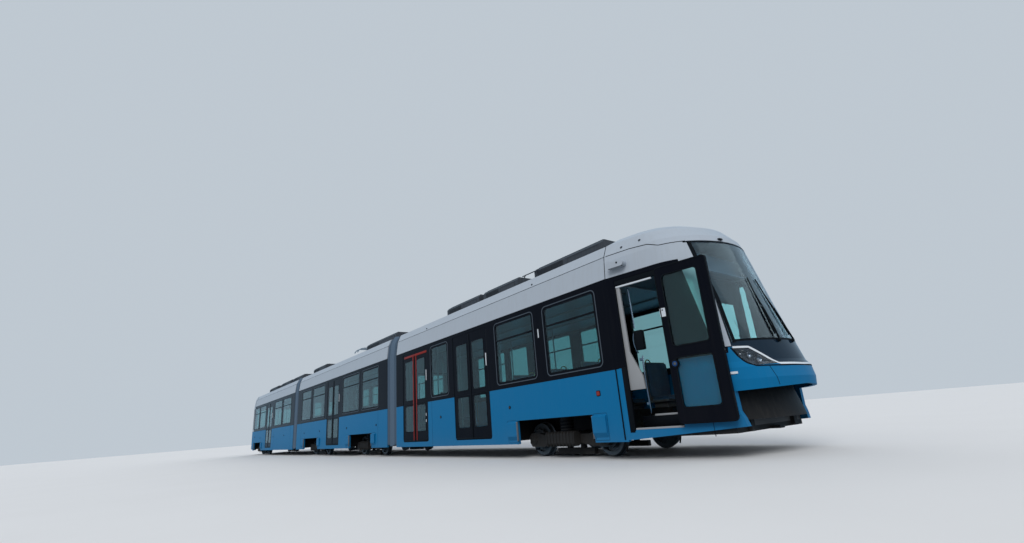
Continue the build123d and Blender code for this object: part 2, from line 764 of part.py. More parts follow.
with BuildPart() as door_arms:
    jamb = doorway[1] - seat_gap
    arm_in = -cab_wall - 30
    arm_out = front_leaf_stand - seat_gap
    for z in (front_leaf_z[0] + 160, front_leaf_z[1] - 110):
        side_slab(jamb - 40, jamb + 150, z, z + 60, arm_in - 20, arm_in)
        side_slab(jamb - 40, jamb, z, z + 60, arm_in - 20, arm_out)
        side_slab(jamb - 40, jamb + 120, z, z + 60, arm_out - 20, arm_out)
save(door_arms.part, "door_arms")

# Cab furniture: partition, desk and seat
with BuildPart() as cab_partition:
    back = nose_x - partition_back
    slab(back, back + 30, -500, cab_half(back + 30) - cab_wall - 25, sill_z, door_top_z - seat_gap)
    slab(back - 10, back + 40, 0, 800, 1300, 2350, mode=Mode.SUBTRACT)
save(cab_partition.part, "cab_partition")

desk_room = end_block(cab_levels, nose_x, cab_seam_x, cab_taper, 1, cab_wall + 12)
with BuildPart() as driver_desk:
    desk_x = nose_x - desk_back
    front_x = cab_floor_end - seat_gap
    with BuildSketch(Plane.XZ.offset(-half_width)):
        with BuildLine():
            Polyline((front_x - 60, sill_z), (front_x - 60, 800), (desk_x - 180, 1050), (desk_x - 140, 1180),
                     (desk_x + 180, 1290), (desk_x + 430, 1290), (desk_x + 430, 1080), (front_x, 960),
                     (front_x, sill_z), close=True)
        make_face()
    extrude(amount=width)
    add(desk_room, mode=Mode.INTERSECT)
save(driver_desk.part, "driver_desk")

with BuildPart() as driver_seat:
    seat_x = nose_x - seat_back
    with BuildSketch(Plane.XY.offset(sill_z)):
        with Locations((seat_x, 0)):
            Circle(150)
    extrude(amount=60)
    with BuildSketch(Plane.XY.offset(sill_z + 60)):
        with Locations((seat_x, 0)):
            Circle(45)
    extrude(amount=350)
    slab(seat_x - 130, seat_x + 230, -240, 240, sill_z + 410, sill_z + 520)
    with BuildSketch(Plane.XZ.offset(-220)):
        with BuildLine():
            Polyline((seat_x - 130, sill_z + 520), (seat_x - 20, sill_z + 520), (seat_x - 50, sill_z + 1250),
                     (seat_x - 125, sill_z + 1250), close=True)
        make_face()
    extrude(amount=440)
save(driver_seat.part, "driver_seat")

# Tail: blue panel, frame round the rear screen, roof end
tail_outer = end_block(tail_levels, tail_x, tail_seam_x, tail_taper, -1)
tail_inner = end_block(tail_levels, tail_x, tail_seam_x, tail_taper, -1, cab_wall)
tail_far = tail_x - 200
screen_z = (belt_z + rear_screen_low, door_top_z - 90)
screen_half = half_width - rear_screen_side
tail_parts = {
    "rear_end_panel": (0, belt_z),
    "rear_end_frame": (belt_z, band_top_z),
    "rear_end_roof": (band_top_z, sky_z),
}
for name, (z0, z1) in tail_parts.items():
    with BuildPart() as tail_piece:
        add(tail_outer)
        add(tail_inner, mode=Mode.SUBTRACT)
        add(side_region([(tail_seam_x, z0), (tail_far, z0), (tail_far, z1), (tail_seam_x, z1)]), mode=Mode.INTERSECT)
        if name == "rear_end_frame":
            slab(tail_far, tail_x + 600, -screen_half, screen_half, *screen_z, mode=Mode.SUBTRACT)
            slab(tail_x + 620, tail_seam_x - 60, -half_width, half_width, *pane_z, mode=Mode.SUBTRACT)
    save(tail_piece.part, name)

with BuildPart() as rear_screen:
    add(tail_outer)
    add(end_block(tail_levels, tail_x, tail_seam_x, tail_taper, -1, screen_t), mode=Mode.SUBTRACT)
    with Locations(((tail_far + tail_x + 600) / 2, 0, sum(screen_z) / 2)):
        Box(tail_x + 600 - tail_far, 2 * (screen_half - seat_gap), screen_z[1] - screen_z[0] - 2 * seat_gap,
            mode=Mode.INTERSECT)
save(rear_screen.part, "rear_screen")

# Seats: a cushion and a back on a plinth, in pairs each side of the aisle
door_gap_x = (front_doors[0][1] + front_doors[1][0]) / 2
seat_rows = {
    "front": [door_gap_x] + [front_bogie_x + step * seat_pitch for step in (-1, 0, 1)],
    "middle": [centre + step * seat_pitch * (1 if centre > 0 else -1)
               for centre in middle_bogie_xs for step in (-1, 0, 1, 1.85)],
    "rear": [rear_pivot_x - step * seat_pitch for step in (1.5, 2.5, 3.7)]
    + [rear_bogie_x + step * seat_pitch for step in (-1, 0, 1)],
}
well_spans = [(c - well_half_length - plate_t, c + well_half_length + plate_t) for c in bogie_xs]
for name, rows in seat_rows.items():
    with BuildPart() as seats:
        for x in rows:
            back, front = x - seat_depth / 2, x + seat_depth / 2
            in_well = any(a < back and front < b for a, b in well_spans)
            base_z = well_top_z if in_well else sill_z
            cushion_z = base_z + (130 if in_well else 430)
            for side in (-1, 1):
                y0, y1 = sorted((side * seat_inner, side * (inner_half - seat_outer_gap)))
                slab(back + 20, front - 20, y0 + 60, y1 - 60, base_z, cushion_z)
                slab(back, front, y0, y1, cushion_z, cushion_z + cushion_t)
                slab(back, back + backrest_t, y0, y1, cushion_z + cushion_t, cushion_z + cushion_t + backrest_h)
    save(seats.part, f"{name}_seats")

# Roof equipment boxes with chamfered tops, on feet: (first, last) distance outward from the section's pivot
box_low_z = crown_z + box_up
box_top_z = box_low_z + box_h
roof_boxes = {
    "front": [(front_pivot_x + a, front_pivot_x + b) for a, b in ((2600, 4200), (4400, 5800), (6400, 8400))],
    "middle": [(-middle_length / 2 + 800, -2900), (2100, middle_length / 2 - 800)],
    "rear": [(rear_pivot_x - b, rear_pivot_x - a) for a, b in ((1100, 3100), (3500, 5700), (6700, 8700))],
}
box_outline = [
    (-box_half, box_low_z), (box_half, box_low_z), (box_half, box_top_z - box_chamfer),
    (box_half - box_chamfer, box_top_z), (-box_half + box_chamfer, box_top_z), (-box_half, box_top_z - box_chamfer),
]
for name, rows in roof_boxes.items():
    with BuildPart() as boxes:
        for a, b in rows:
            with BuildSketch(Plane.YZ.offset(a)):
                with BuildLine():
                    Polyline(*box_outline, close=True)
                make_face()
            extrude(amount=b - a)
            for x in (a + 150, b - 150):
                for side in (-1, 1):
                    y0, y1 = sorted((side * (box_half - 120), side * (box_half - 20)))
                    with BuildSketch(Plane.YZ.offset(x - 40)):
                        with BuildLine():
                            Polyline((y0, roof_z(y0) + seat_gap), (y1, roof_z(y1) + seat_gap), (y1, box_low_z),
                                     (y0, box_low_z), close=True)
                        make_face()
                    extrude(amount=80)
    save(boxes.part, f"{name}_roof_boxes")

# Bogies: goose-necked side beams with axle boxes, motors outside them, springs on top and track brakes below
half_base = wheelbase / 2
beam_half_profile = [
    (0, cross_z[0] - 10), (half_base - 560, cross_z[0] - 10), (half_base - 260, axle_z - 130),
    (half_base + 90, axle_z - 130), (half_base + 150, axle_z - 60), (half_base + 150, axle_z + 60),
    (half_base + 90, axle_z + 125), (half_base - 130, axle_z + 125), (half_base - 300, cross_z[1] - 30),
    (0, cross_z[1] - 30),
]
beam_profile = beam_half_profile + [(-x, z) for x, z in beam_half_profile[-2:0:-1]]
for number, centre in enumerate(bogie_xs, 1):
    with BuildPart() as bogie:
        slab(centre - cross_half, centre + cross_half, -beam_outer_y, beam_outer_y, *cross_z)
        for side in (-1, 1):
            with BuildSketch(Plane.XZ.offset(-beam_outer_y if side > 0 else beam_y)):
                with BuildLine():
                    Polyline(*[(centre + x, z) for x, z in beam_profile], close=True)
                make_face()
            extrude(amount=beam_t)
            # Motor: a round casing along the beam, seated on it by its foot
            motor_y = side * (beam_outer_y + motor_w / 2)
            with BuildSketch(Plane.YZ.offset(centre - motor_half)):
                with Locations((motor_y, axle_z + 10)):
                    RectangleRounded(motor_w, 2 * motor_r, 60)
            extrude(amount=2 * motor_half)
            with BuildSketch(Plane.XY.offset(cross_z[0])):
                with Locations((centre, side * spring_y)):
                    Circle(spring_r)
            extrude(amount=well_top_z - plate_t - seat_gap - cross_z[0])
            magnet_y = side * (wheel_inner_y + wheel_w / 2)
            y0, y1 = magnet_y - 45, magnet_y + 45
            slab(centre - magnet_half, centre + magnet_half, y0, y1, *magnet_z)
            for x in (centre - cross_half, centre + cross_half - 80):
                slab(x, x + 80, y0, y1, magnet_z[1] - 10, cross_z[0] + 10)
        for x in (centre - half_base, centre + half_base):
            with BuildSketch(Plane.XZ.offset(-half_width)):
                with Locations((x, axle_z)):
                    Circle(journal_r + running_gap)
            extrude(amount=width, mode=Mode.SUBTRACT)
        with BuildSketch(Plane.XY.offset(cross_z[0])):
            with Locations((centre, 0)):
                Circle(pivot_pin_r + running_gap)
        extrude(amount=cross_z[1] - cross_z[0], mode=Mode.SUBTRACT)
    save(bogie.part, f"bogie_{number}")

# Half profile of an axle with its wheel and the brake disc outside it, as (distance from the middle, radius)
shaft_r, hub_r, rim_r = 75, 110, tread_r - 60
wheel_half_profile = [
    (wheel_inner_y - 25, shaft_r), (wheel_inner_y - 25, hub_r), (wheel_inner_y + 45, hub_r),
    (wheel_inner_y + 45, rim_r), (wheel_inner_y, rim_r), (wheel_inner_y, tread_r + 14),
    (wheel_inner_y + 10, tread_r + flange_h), (wheel_inner_y + 22, tread_r + flange_h),
    (wheel_inner_y + 36, tread_r + 2), (wheel_outer_y, tread_r - 2), (wheel_outer_y, rim_r),
    (wheel_inner_y + 75, rim_r), (wheel_inner_y + 75, hub_r), (wheel_outer_y + 25, hub_r),
    (wheel_outer_y + 25, disc_r), (wheel_outer_y + 60, disc_r), (wheel_outer_y + 60, journal_r),
    (beam_outer_y - 5, journal_r), (beam_outer_y - 5, 0),
]
axle_xs = [centre + offset for centre in bogie_xs for offset in (half_base, -half_base)]
for number, x in enumerate(axle_xs, 1):
    with BuildPart() as wheelset:
        with BuildSketch(Plane(origin=(x, 0, axle_z), x_dir=(0, 1, 0), z_dir=(1, 0, 0))):
            with BuildLine():
                Polyline(*[(-y, r) for y, r in wheel_half_profile[::-1]], *wheel_half_profile, close=True)
            make_face()
        revolve(axis=Axis((x, 0, axle_z), (0, 1, 0)))
    save(wheelset.part, f"wheelset_{number}")


def cross_shaft(x, z, half, radius):
    """A round shaft along Y through (x, z)."""
    with Locations(Location((x, 0, z), (90, 0, 0))):
        Cylinder(radius, 2 * half)


def arm_tube(start, end, y0, y1, radius):
    """A round tube from one shaft to another, each given as (x, z)."""
    a, b = Vector(start[0], y0, start[1]), Vector(end[0], y1, end[1])
    along = b - a
    with BuildSketch(Plane(origin=a, z_dir=along)) as ring:
        Circle(radius)
    extrude(ring.sketch, amount=along.length)


# Current collector, folded down on its base: a ladder frame on insulators, two arms and a head with horned strips
base_pivot = (base_pivot_x, crown_z + base_pivot_up)
knee = (knee_x, crown_z + knee_up)
head_pivot = (head_x, crown_z + head_up)
rail_z = base_pivot[1] - 100
base_shaft_r, knee_shaft_r, head_shaft_r = 20, 18, 15
with BuildPart() as pantograph_base:
    px, pz = base_pivot
    rail_y = 420
    for y in (-rail_y, rail_y):
        slab(knee_x + 200, head_x + 100, y - 30, y + 30, rail_z, rail_z + frame_tube)
        for x in (knee_x + 300, head_x):
            foot_z = roof_z(y) - 45 * (crown_z - shoulder_z) / (half_width - shoulder_lean) + seat_gap + 4
            for low, high, radius in ((foot_z, rail_z + 5, 30), (foot_z + 20, foot_z + 30, 45),
                                      (foot_z + 42, foot_z + 52, 45)):
                with BuildSketch(Plane.XY.offset(low)):
                    with Locations((x, y)):
                        Circle(radius)
                extrude(amount=high - low)
    for x in (knee_x + 250, px, head_x + 50):
        slab(x - 30, x + 30, -rail_y, rail_y, rail_z, rail_z + frame_tube)
    for side in (-1, 1):
        y0, y1 = sorted((side * 180, side * 215))
        slab(px - 30, px + 30, y0, y1, rail_z + frame_tube, pz + 35)
    with Locations(Location((px, 0, pz), (90, 0, 0))):
        Cylinder(base_shaft_r + running_gap, 600, mode=Mode.SUBTRACT)
save(pantograph_base.part, "pantograph_base")

with BuildPart() as lower_arm:
    cross_shaft(*base_pivot, 240, base_shaft_r)
    cross_shaft(*knee, 115, knee_shaft_r)
    arm_tube(base_pivot, knee, 0, 0, 34)
save(lower_arm.part, "pantograph_lower_arm")

with BuildPart() as upper_arm:
    cross_shaft(*head_pivot, 250, head_shaft_r)
    for side in (-1, 1):
        y0, y1 = sorted((side * 60, side * 100))
        slab(knee[0] - 32, knee[0] + 32, y0, y1, knee[1] - 32, knee[1] + 32)
        arm_tube((knee[0] + 25, knee[1]), head_pivot, side * 80, side * 60, 20)
    with Locations(Location((knee[0], 0, knee[1]), (90, 0, 0))):
        Cylinder(knee_shaft_r + running_gap, 400, mode=Mode.SUBTRACT)
save(upper_arm.part, "pantograph_upper_arm")

# Each strip is a carbon bar that bends down into a horn at both ends
with BuildPart() as collector_head:
    hx, hz = head_pivot
    flat_half = collector_half - 250
    strip_t, strip_low = 30, hz + 45
    for x in (hx - strip_spacing / 2, hx + strip_spacing / 2):
        with BuildSketch(Plane.YZ.offset(x - 25)):
            with BuildLine():
                Line((-flat_half, strip_low), (flat_half, strip_low))
                TangentArc((flat_half, strip_low), (collector_half - 25, strip_low - horn_drop), tangent=(1, 0))
                Line((collector_half - 25, strip_low - horn_drop), (collector_half + 2, strip_low - horn_drop + 12))
                TangentArc((flat_half, strip_low + strip_t), (collector_half + 2, strip_low - horn_drop + 12),
                           tangent=(1, 0))
                Line((flat_half, strip_low + strip_t), (-flat_half, strip_low + strip_t))
                TangentArc((-flat_half, strip_low + strip_t), (-collector_half - 2, strip_low - horn_drop + 12),
                           tangent=(-1, 0))
                Line((-collector_half - 2, strip_low - horn_drop + 12), (-collector_half + 25, strip_low - horn_drop))
                TangentArc((-flat_half, strip_low), (-collector_half + 25, strip_low - horn_drop), tangent=(-1, 0))
            make_face()
        extrude(amount=50)
    for side in (-1, 1):
        y0, y1 = sorted((side * 200, side * 235))
        slab(hx - strip_spacing / 2, hx + strip_spacing / 2, y0, y1, hz + 20, hz + 55)
        slab(hx - 28, hx + 28, y0, y1, hz - 28, hz + 40)
    with Locations(Location((hx, 0, hz), (90, 0, 0))):
        Cylinder(head_shaft_r + running_gap, 800, mode=Mode.SUBTRACT)
save(collector_head.part, "collector_head")
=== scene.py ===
import json
import math

import bmesh
import bpy
from mathutils import Matrix, Vector
from mathutils.bvhtree import BVHTree


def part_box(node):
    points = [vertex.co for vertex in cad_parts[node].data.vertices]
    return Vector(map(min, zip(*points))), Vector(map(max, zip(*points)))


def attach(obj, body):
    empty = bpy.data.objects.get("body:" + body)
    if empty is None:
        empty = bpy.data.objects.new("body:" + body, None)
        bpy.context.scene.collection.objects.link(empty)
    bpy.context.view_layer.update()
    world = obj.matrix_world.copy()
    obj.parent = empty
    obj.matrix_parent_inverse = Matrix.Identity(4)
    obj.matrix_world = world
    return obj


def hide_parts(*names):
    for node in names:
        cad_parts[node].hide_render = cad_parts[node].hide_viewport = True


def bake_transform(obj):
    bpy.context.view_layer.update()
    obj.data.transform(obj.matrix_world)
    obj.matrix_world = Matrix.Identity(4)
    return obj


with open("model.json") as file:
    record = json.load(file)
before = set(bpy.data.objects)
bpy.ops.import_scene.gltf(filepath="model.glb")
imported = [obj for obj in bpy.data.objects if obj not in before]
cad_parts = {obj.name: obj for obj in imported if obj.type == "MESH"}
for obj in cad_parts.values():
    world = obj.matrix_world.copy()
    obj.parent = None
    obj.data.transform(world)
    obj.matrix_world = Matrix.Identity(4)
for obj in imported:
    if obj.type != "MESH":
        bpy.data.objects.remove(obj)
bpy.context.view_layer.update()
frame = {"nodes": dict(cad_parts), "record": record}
nodes = frame["nodes"]
scene = bpy.context.scene
print("frame loaded:", len(nodes), "nodes")

# Colours as the paint maker would mix them, linear
colours = {
    "blue": (0.001, 0.150, 0.345),
    "white": (0.41, 0.46, 0.52),
    "cream": (0.17, 0.19, 0.22),
    "black": (0.003, 0.004, 0.008),
    "roofGrey": (0.036, 0.041, 0.050),
    "underBlack": (0.009, 0.009, 0.010),
    "bellows": (0.085, 0.13, 0.185),
    "steel": (0.52, 0.53, 0.55),
    "wheelSteel": (0.20, 0.19, 0.185),
    "dust": (0.26, 0.235, 0.20),
    "fabric": (0.03, 0.09, 0.17),
    "fabricSpot": (0.10, 0.22, 0.34),
    "cabPlastic": (0.10, 0.105, 0.11),
    "red": (0.25, 0.018, 0.011),
    "rubber": (0.002, 0.0025, 0.004),
    "floorPale": (0.74, 0.745, 0.75),
    # The two floor colours below are painted light: a darker floor for bounced light paints shade on the undersides,
    # and a bluish floor for gloss paints a reflection
    "floorBouncePaintedShade": (0.34, 0.345, 0.35),
    "floorPaintedReflection": (0.13, 0.25, 0.36),
    "liner": (0.30, 0.31, 0.32),
    "amber": (0.26, 0.09, 0.02),
    "lampDark": (0.060, 0.026, 0.016),
    "mask": (0.001, 0.010, 0.024),
    "ledWhite": (0.62, 0.67, 0.72),
    "insulator": (0.16, 0.045, 0.03),
    "steelDark": (0.26, 0.29, 0.33),
    "carbon": (0.03, 0.03, 0.032),
    "grabYellow": (0.62, 0.42, 0.03),
    "ringBlue": (0.008, 0.07, 0.26),
    "lampHousing": (0.035, 0.050, 0.070),
    # The bead colour is a painted highlight: a grey-blue lighter than rubber, so the rounded window frames read as
    # catching light
    "beadPaintedHighlight": (0.062, 0.080, 0.100),
    "darkCloth": (0.018, 0.022, 0.03),
    "lining": (0.12, 0.185, 0.24),
}


def addNode(tree, kind, settings=None, **inputs):
    node = tree.nodes.new(kind)
    for name, value in (settings or {}).items():
        setattr(node, name, value)
    for name, value in inputs.items():
        node.inputs[name].default_value = value
    return node


# A node group from its inputs and their values, which gives a colour, a roughness and a height
def newGroup(name, inputs):
    tree = bpy.data.node_groups.new(name, "ShaderNodeTree")
    for label, value in inputs.items():
        kind = "NodeSocketColor" if isinstance(value, tuple) else "NodeSocketFloat"
        tree.interface.new_socket(label, in_out="INPUT", socket_type=kind).default_value = value
    for label, kind in (("Colour", "NodeSocketColor"), ("Roughness", "NodeSocketFloat"), ("Height", "NodeSocketFloat")):
        tree.interface.new_socket(label, in_out="OUTPUT", socket_type=kind)
    return tree, tree.nodes.new("NodeGroupInput"), tree.nodes.new("NodeGroupOutput")


def mathNode(tree, operation, first, second, clamp=False):
    node = tree.nodes.new("ShaderNodeMath")
    node.operation = operation
    node.use_clamp = clamp
    for socket, value in zip(node.inputs, (first, second)):
        if isinstance(value, (int, float)):
            socket.default_value = value
        else:
            tree.links.new(value, socket)
    return node.outputs[0]


def times(tree, first, second, clamp=False):
    return mathNode(tree, "MULTIPLY", first, second, clamp)


def plus(tree, first, second, clamp=False):
    return mathNode(tree, "ADD", first, second, clamp)


def mixColour(tree, factor, first, second):
    node = tree.nodes.new("ShaderNodeMix")
    node.data_type = "RGBA"
    for socket, value in ((node.inputs[0], factor), (node.inputs[6], first), (node.inputs[7], second)):
        if isinstance(value, (int, float)):
            socket.default_value = value
        elif isinstance(value, tuple):
            socket.default_value = (*value, 1)
        else:
            tree.links.new(value, socket)
    return node.outputs[2]


def noise(tree, vector, scale, detail=3.0, roughness=0.55):
    node = addNode(tree, "ShaderNodeTexNoise", Scale=scale, Detail=detail, Roughness=roughness)
    tree.links.new(vector, node.inputs["Vector"])
    return node.outputs["Fac"]


def stretched(tree, vector, scale):
    node = addNode(tree, "ShaderNodeMapping", Scale=scale)
    tree.links.new(vector, node.inputs["Vector"])
    return node.outputs["Vector"]


def objectPlace(tree):
    return tree.nodes.new("ShaderNodeTexCoord").outputs["Object"]


def axisOf(tree, vector, axis):
    split = tree.nodes.new("ShaderNodeSeparateXYZ")
    tree.links.new(vector, split.inputs[0])
    return split.outputs[axis]


# Road dust that thickens towards the ground, faint rain streaks and slow changes of tone
def makeWeather():
    tree, source, result = newGroup("weather", {
        "Colour": (0.5, 0.5, 0.5, 1), "Dust Colour": (*colours["dust"], 1), "Dust Top": 1.2, "Dust Amount": 0.35,
        "Streaks": 0.12, "Base Roughness": 0.3})
    place = objectPlace(tree)
    height = axisOf(tree, place, "Z")
    patches = noise(tree, place, 1.7, 5)
    fine = noise(tree, place, 38, 4)
    streak = noise(tree, stretched(tree, place, (9, 9, 0.5)), 2.2, 4)
    low = mathNode(tree, "SUBTRACT", source.outputs["Dust Top"], height)
    low = mathNode(tree, "DIVIDE", low, source.outputs["Dust Top"], True)
    mask = times(tree, times(tree, low, low), plus(tree, patches, times(tree, fine, 0.5)))
    mask = times(tree, mask, source.outputs["Dust Amount"], True)
    lines = times(tree, mathNode(tree, "SUBTRACT", streak, 0.45, True), source.outputs["Streaks"], True)
    toned = mixColour(tree, times(tree, patches, 0.008), source.outputs["Colour"], colours["dust"])
    toned = mixColour(tree, lines, toned, source.outputs["Dust Colour"])
    toned = mixColour(tree, mask, toned, source.outputs["Dust Colour"])
    tree.links.new(toned, result.inputs["Colour"])
    shine = times(tree, plus(tree, mask, times(tree, fine, 0.12)), 0.8)
    tree.links.new(plus(tree, source.outputs["Base Roughness"], shine, True), result.inputs["Roughness"])
    wave = plus(tree, times(tree, noise(tree, place, 3.1, 1), 4.0), fine)
    tree.links.new(wave, result.inputs["Height"])
    return tree


# Fine grain of moulded plastic, rubber and cast metal
def makeGrain():
    tree, source, result = newGroup("grain", {
        "Colour": (0.1, 0.1, 0.1, 1), "Scale": 240.0, "Base Roughness": 0.6, "Spread": 0.2})
    place = objectPlace(tree)
    cell = addNode(tree, "ShaderNodeTexVoronoi", {"feature": "SMOOTH_F1"})
    tree.links.new(place, cell.inputs["Vector"])
    tree.links.new(source.outputs["Scale"], cell.inputs["Scale"])
    slow = noise(tree, place, 5.5, 5)
    lighter = mixColour(tree, 0.012, source.outputs["Colour"], colours["dust"])
    spread = times(tree, slow, source.outputs["Spread"])
    tree.links.new(mixColour(tree, times(tree, slow, 0.7, True), source.outputs["Colour"], lighter),
                   result.inputs["Colour"])
    tree.links.new(plus(tree, source.outputs["Base Roughness"], spread, True), result.inputs["Roughness"])
    tree.links.new(cell.outputs["Distance"], result.inputs["Height"])
    return tree


weather = makeWeather()
grain = makeGrain()


def newMaterial(name):
    made = bpy.data.materials.new(name)
    made.use_nodes = True
    tree = made.node_tree
    return made, tree, tree.nodes["Principled BSDF"]


def bump(tree, shader, height, strength, distance):
    node = addNode(tree, "ShaderNodeBump", Strength=strength, Distance=distance)
    tree.links.new(height, node.inputs["Height"])
    tree.links.new(node.outputs["Normal"], shader.inputs["Normal"])


def setInputs(shader, values):
    for name, value in values.items():
        shader.inputs[name].default_value = value


# A material round a node group, whose colour, roughness and height feed the Principled shader
def groupMaterial(name, groupTree, inputs, shader, strength, distance):
    made, tree, principled = newMaterial(name)
    group = tree.nodes.new("ShaderNodeGroup")
    group.node_tree = groupTree
    setInputs(group, inputs)
    tree.links.new(group.outputs["Colour"], principled.inputs["Base Color"])
    tree.links.new(group.outputs["Roughness"], principled.inputs["Roughness"])
    setInputs(principled, shader)
    bump(tree, principled, group.outputs["Height"], strength, distance)
    return made


def paintMaterial(name, colour, dustTop=1.3, dustAmount=0.35, streaks=0.12, rough=0.16, coat=0.6, specular=0.5):
    inputs = {"Colour": (*colours[colour], 1), "Dust Top": dustTop, "Dust Amount": dustAmount, "Streaks": streaks,
              "Base Roughness": rough}
    shader = {"Coat Weight": coat, "Coat Roughness": 0.06, "Specular IOR Level": specular}
    return groupMaterial(name, weather, inputs, shader, 0.08, 0.002)


def grainMaterial(name, colour, scale=240.0, rough=0.55, spread=0.2, depth=0.0006, shader=None):
    inputs = {"Colour": (*colours[colour], 1), "Scale": scale, "Base Roughness": rough, "Spread": spread}
    return groupMaterial(name, grain, inputs, shader or {}, 0.35, depth)


# Glass with a faint film of dust; the tint is in the base colour, and paler from frontX on where that is given
def glassMaterial(name, tint, rough=0.01, transmission=1.0, film=0.10, shader=None, frontX=None, frontTint=None):
    made, tree, principled = newMaterial(name)
    place = objectPlace(tree)
    smear = noise(tree, stretched(tree, place, (1, 1, 0.4)), 2.6, 6)
    speck = noise(tree, place, 90, 3)
    veil = times(tree, mathNode(tree, "SUBTRACT", smear, 0.5, True), film)
    if frontX:
        inFront = mathNode(tree, "GREATER_THAN", axisOf(tree, place, "X"), frontX)
        tint = mixColour(tree, inFront, tint, frontTint)
    tree.links.new(mixColour(tree, times(tree, veil, 2.0, True), tint, colours["dust"]),
                   principled.inputs["Base Color"])
    tree.links.new(plus(tree, times(tree, veil, speck), rough), principled.inputs["Roughness"])
    setInputs(principled, {"IOR": 1.45, "Transmission Weight": transmission, **(shader or {})})
    return made


def fabricMaterial():
    made, tree, principled = newMaterial("seatFabric")
    place = objectPlace(tree)
    threads = []
    for direction in ("X", "Y", "Z"):
        wave = addNode(tree, "ShaderNodeTexWave", {"bands_direction": direction}, Scale=110.0, Distortion=0.6)
        tree.links.new(place, wave.inputs["Vector"])
        threads.append(wave.outputs["Fac"])
    weave = times(tree, plus(tree, threads[0], threads[2]), threads[1])
    spots = addNode(tree, "ShaderNodeTexVoronoi", Scale=26.0)
    tree.links.new(place, spots.inputs["Vector"])
    dots = mathNode(tree, "LESS_THAN", spots.outputs["Distance"], 0.22)
    base = mixColour(tree, times(tree, weave, 0.35), colours["fabric"], colours["rubber"])
    tree.links.new(mixColour(tree, times(tree, dots, 0.7), base, colours["fabricSpot"]),
                   principled.inputs["Base Color"])
    setInputs(principled, {"Roughness": 0.9, "Sheen Weight": 0.3})
    bump(tree, principled, weave, 0.5, 0.0008)
    return made


def glowMaterial(name, colour, strength):
    made, tree, principled = newMaterial(name)
    place = objectPlace(tree)
    grainy = noise(tree, place, 60, 2)
    tree.links.new(mixColour(tree, times(tree, grainy, 0.02), colour, (0.9, 0.9, 0.9)),
                   principled.inputs["Base Color"])
    setInputs(principled, {"Roughness": 0.25, "Emission Color": (*colour, 1), "Emission Strength": strength,
                           "Coat Weight": 0.15, "Specular IOR Level": 0.3})
    return made


materials = {
    "blue_paint": paintMaterial("bluePaint", "blue", 0.9, 0.16, 0.05, 0.30, 0.0, 0.16),
    "white_paint": paintMaterial("whitePaint", "white", 3.6, 0.08, 0.30, 0.30, 0.15, 0.35),
    "black_gloss": paintMaterial("blackGloss", "black", 2.6, 0.015, 0.02, 0.12, 0.0, 0.05),
    "tinted_glass": glassMaterial("tintedGlass", (0.27, 0.52, 0.53), shader={"Specular IOR Level": 0.25}, frontX=14.4,
                                  frontTint=(0.52, 0.92, 0.86)),
    "clear_glass": glassMaterial("clearGlass", (0.68, 0.88, 0.95), film=0.04,
                                 shader={"Specular IOR Level": 0.7, "Coat Weight": 0.3}),
    "lamp_lens": glassMaterial("lampLens", (0.88, 0.92, 0.95), film=0.04),
    "roof_grey": paintMaterial("roofGrey", "roofGrey", 4.2, 0.35, 0.2, 0.5, 0.0),
    "under_black": paintMaterial("underBlack", "underBlack", 0.9, 0.18, rough=0.5, coat=0.0, specular=0.2),
    "bellows_grey": grainMaterial("bellowsGrey", "bellows", 320.0, 0.68),
    "steel": grainMaterial("satinSteel", "steel", 150.0, 0.28, 0.25, 0.0003, {"Metallic": 1.0}),
    "wheel_steel": grainMaterial("wheelSteel", "wheelSteel", 90.0, 0.35, 0.35, 0.0006, {"Metallic": 0.9}),
    "seat_fabric": fabricMaterial(),
    "cab_plastic": grainMaterial("cabPlastic", "cabPlastic", 380.0, 0.6),
}
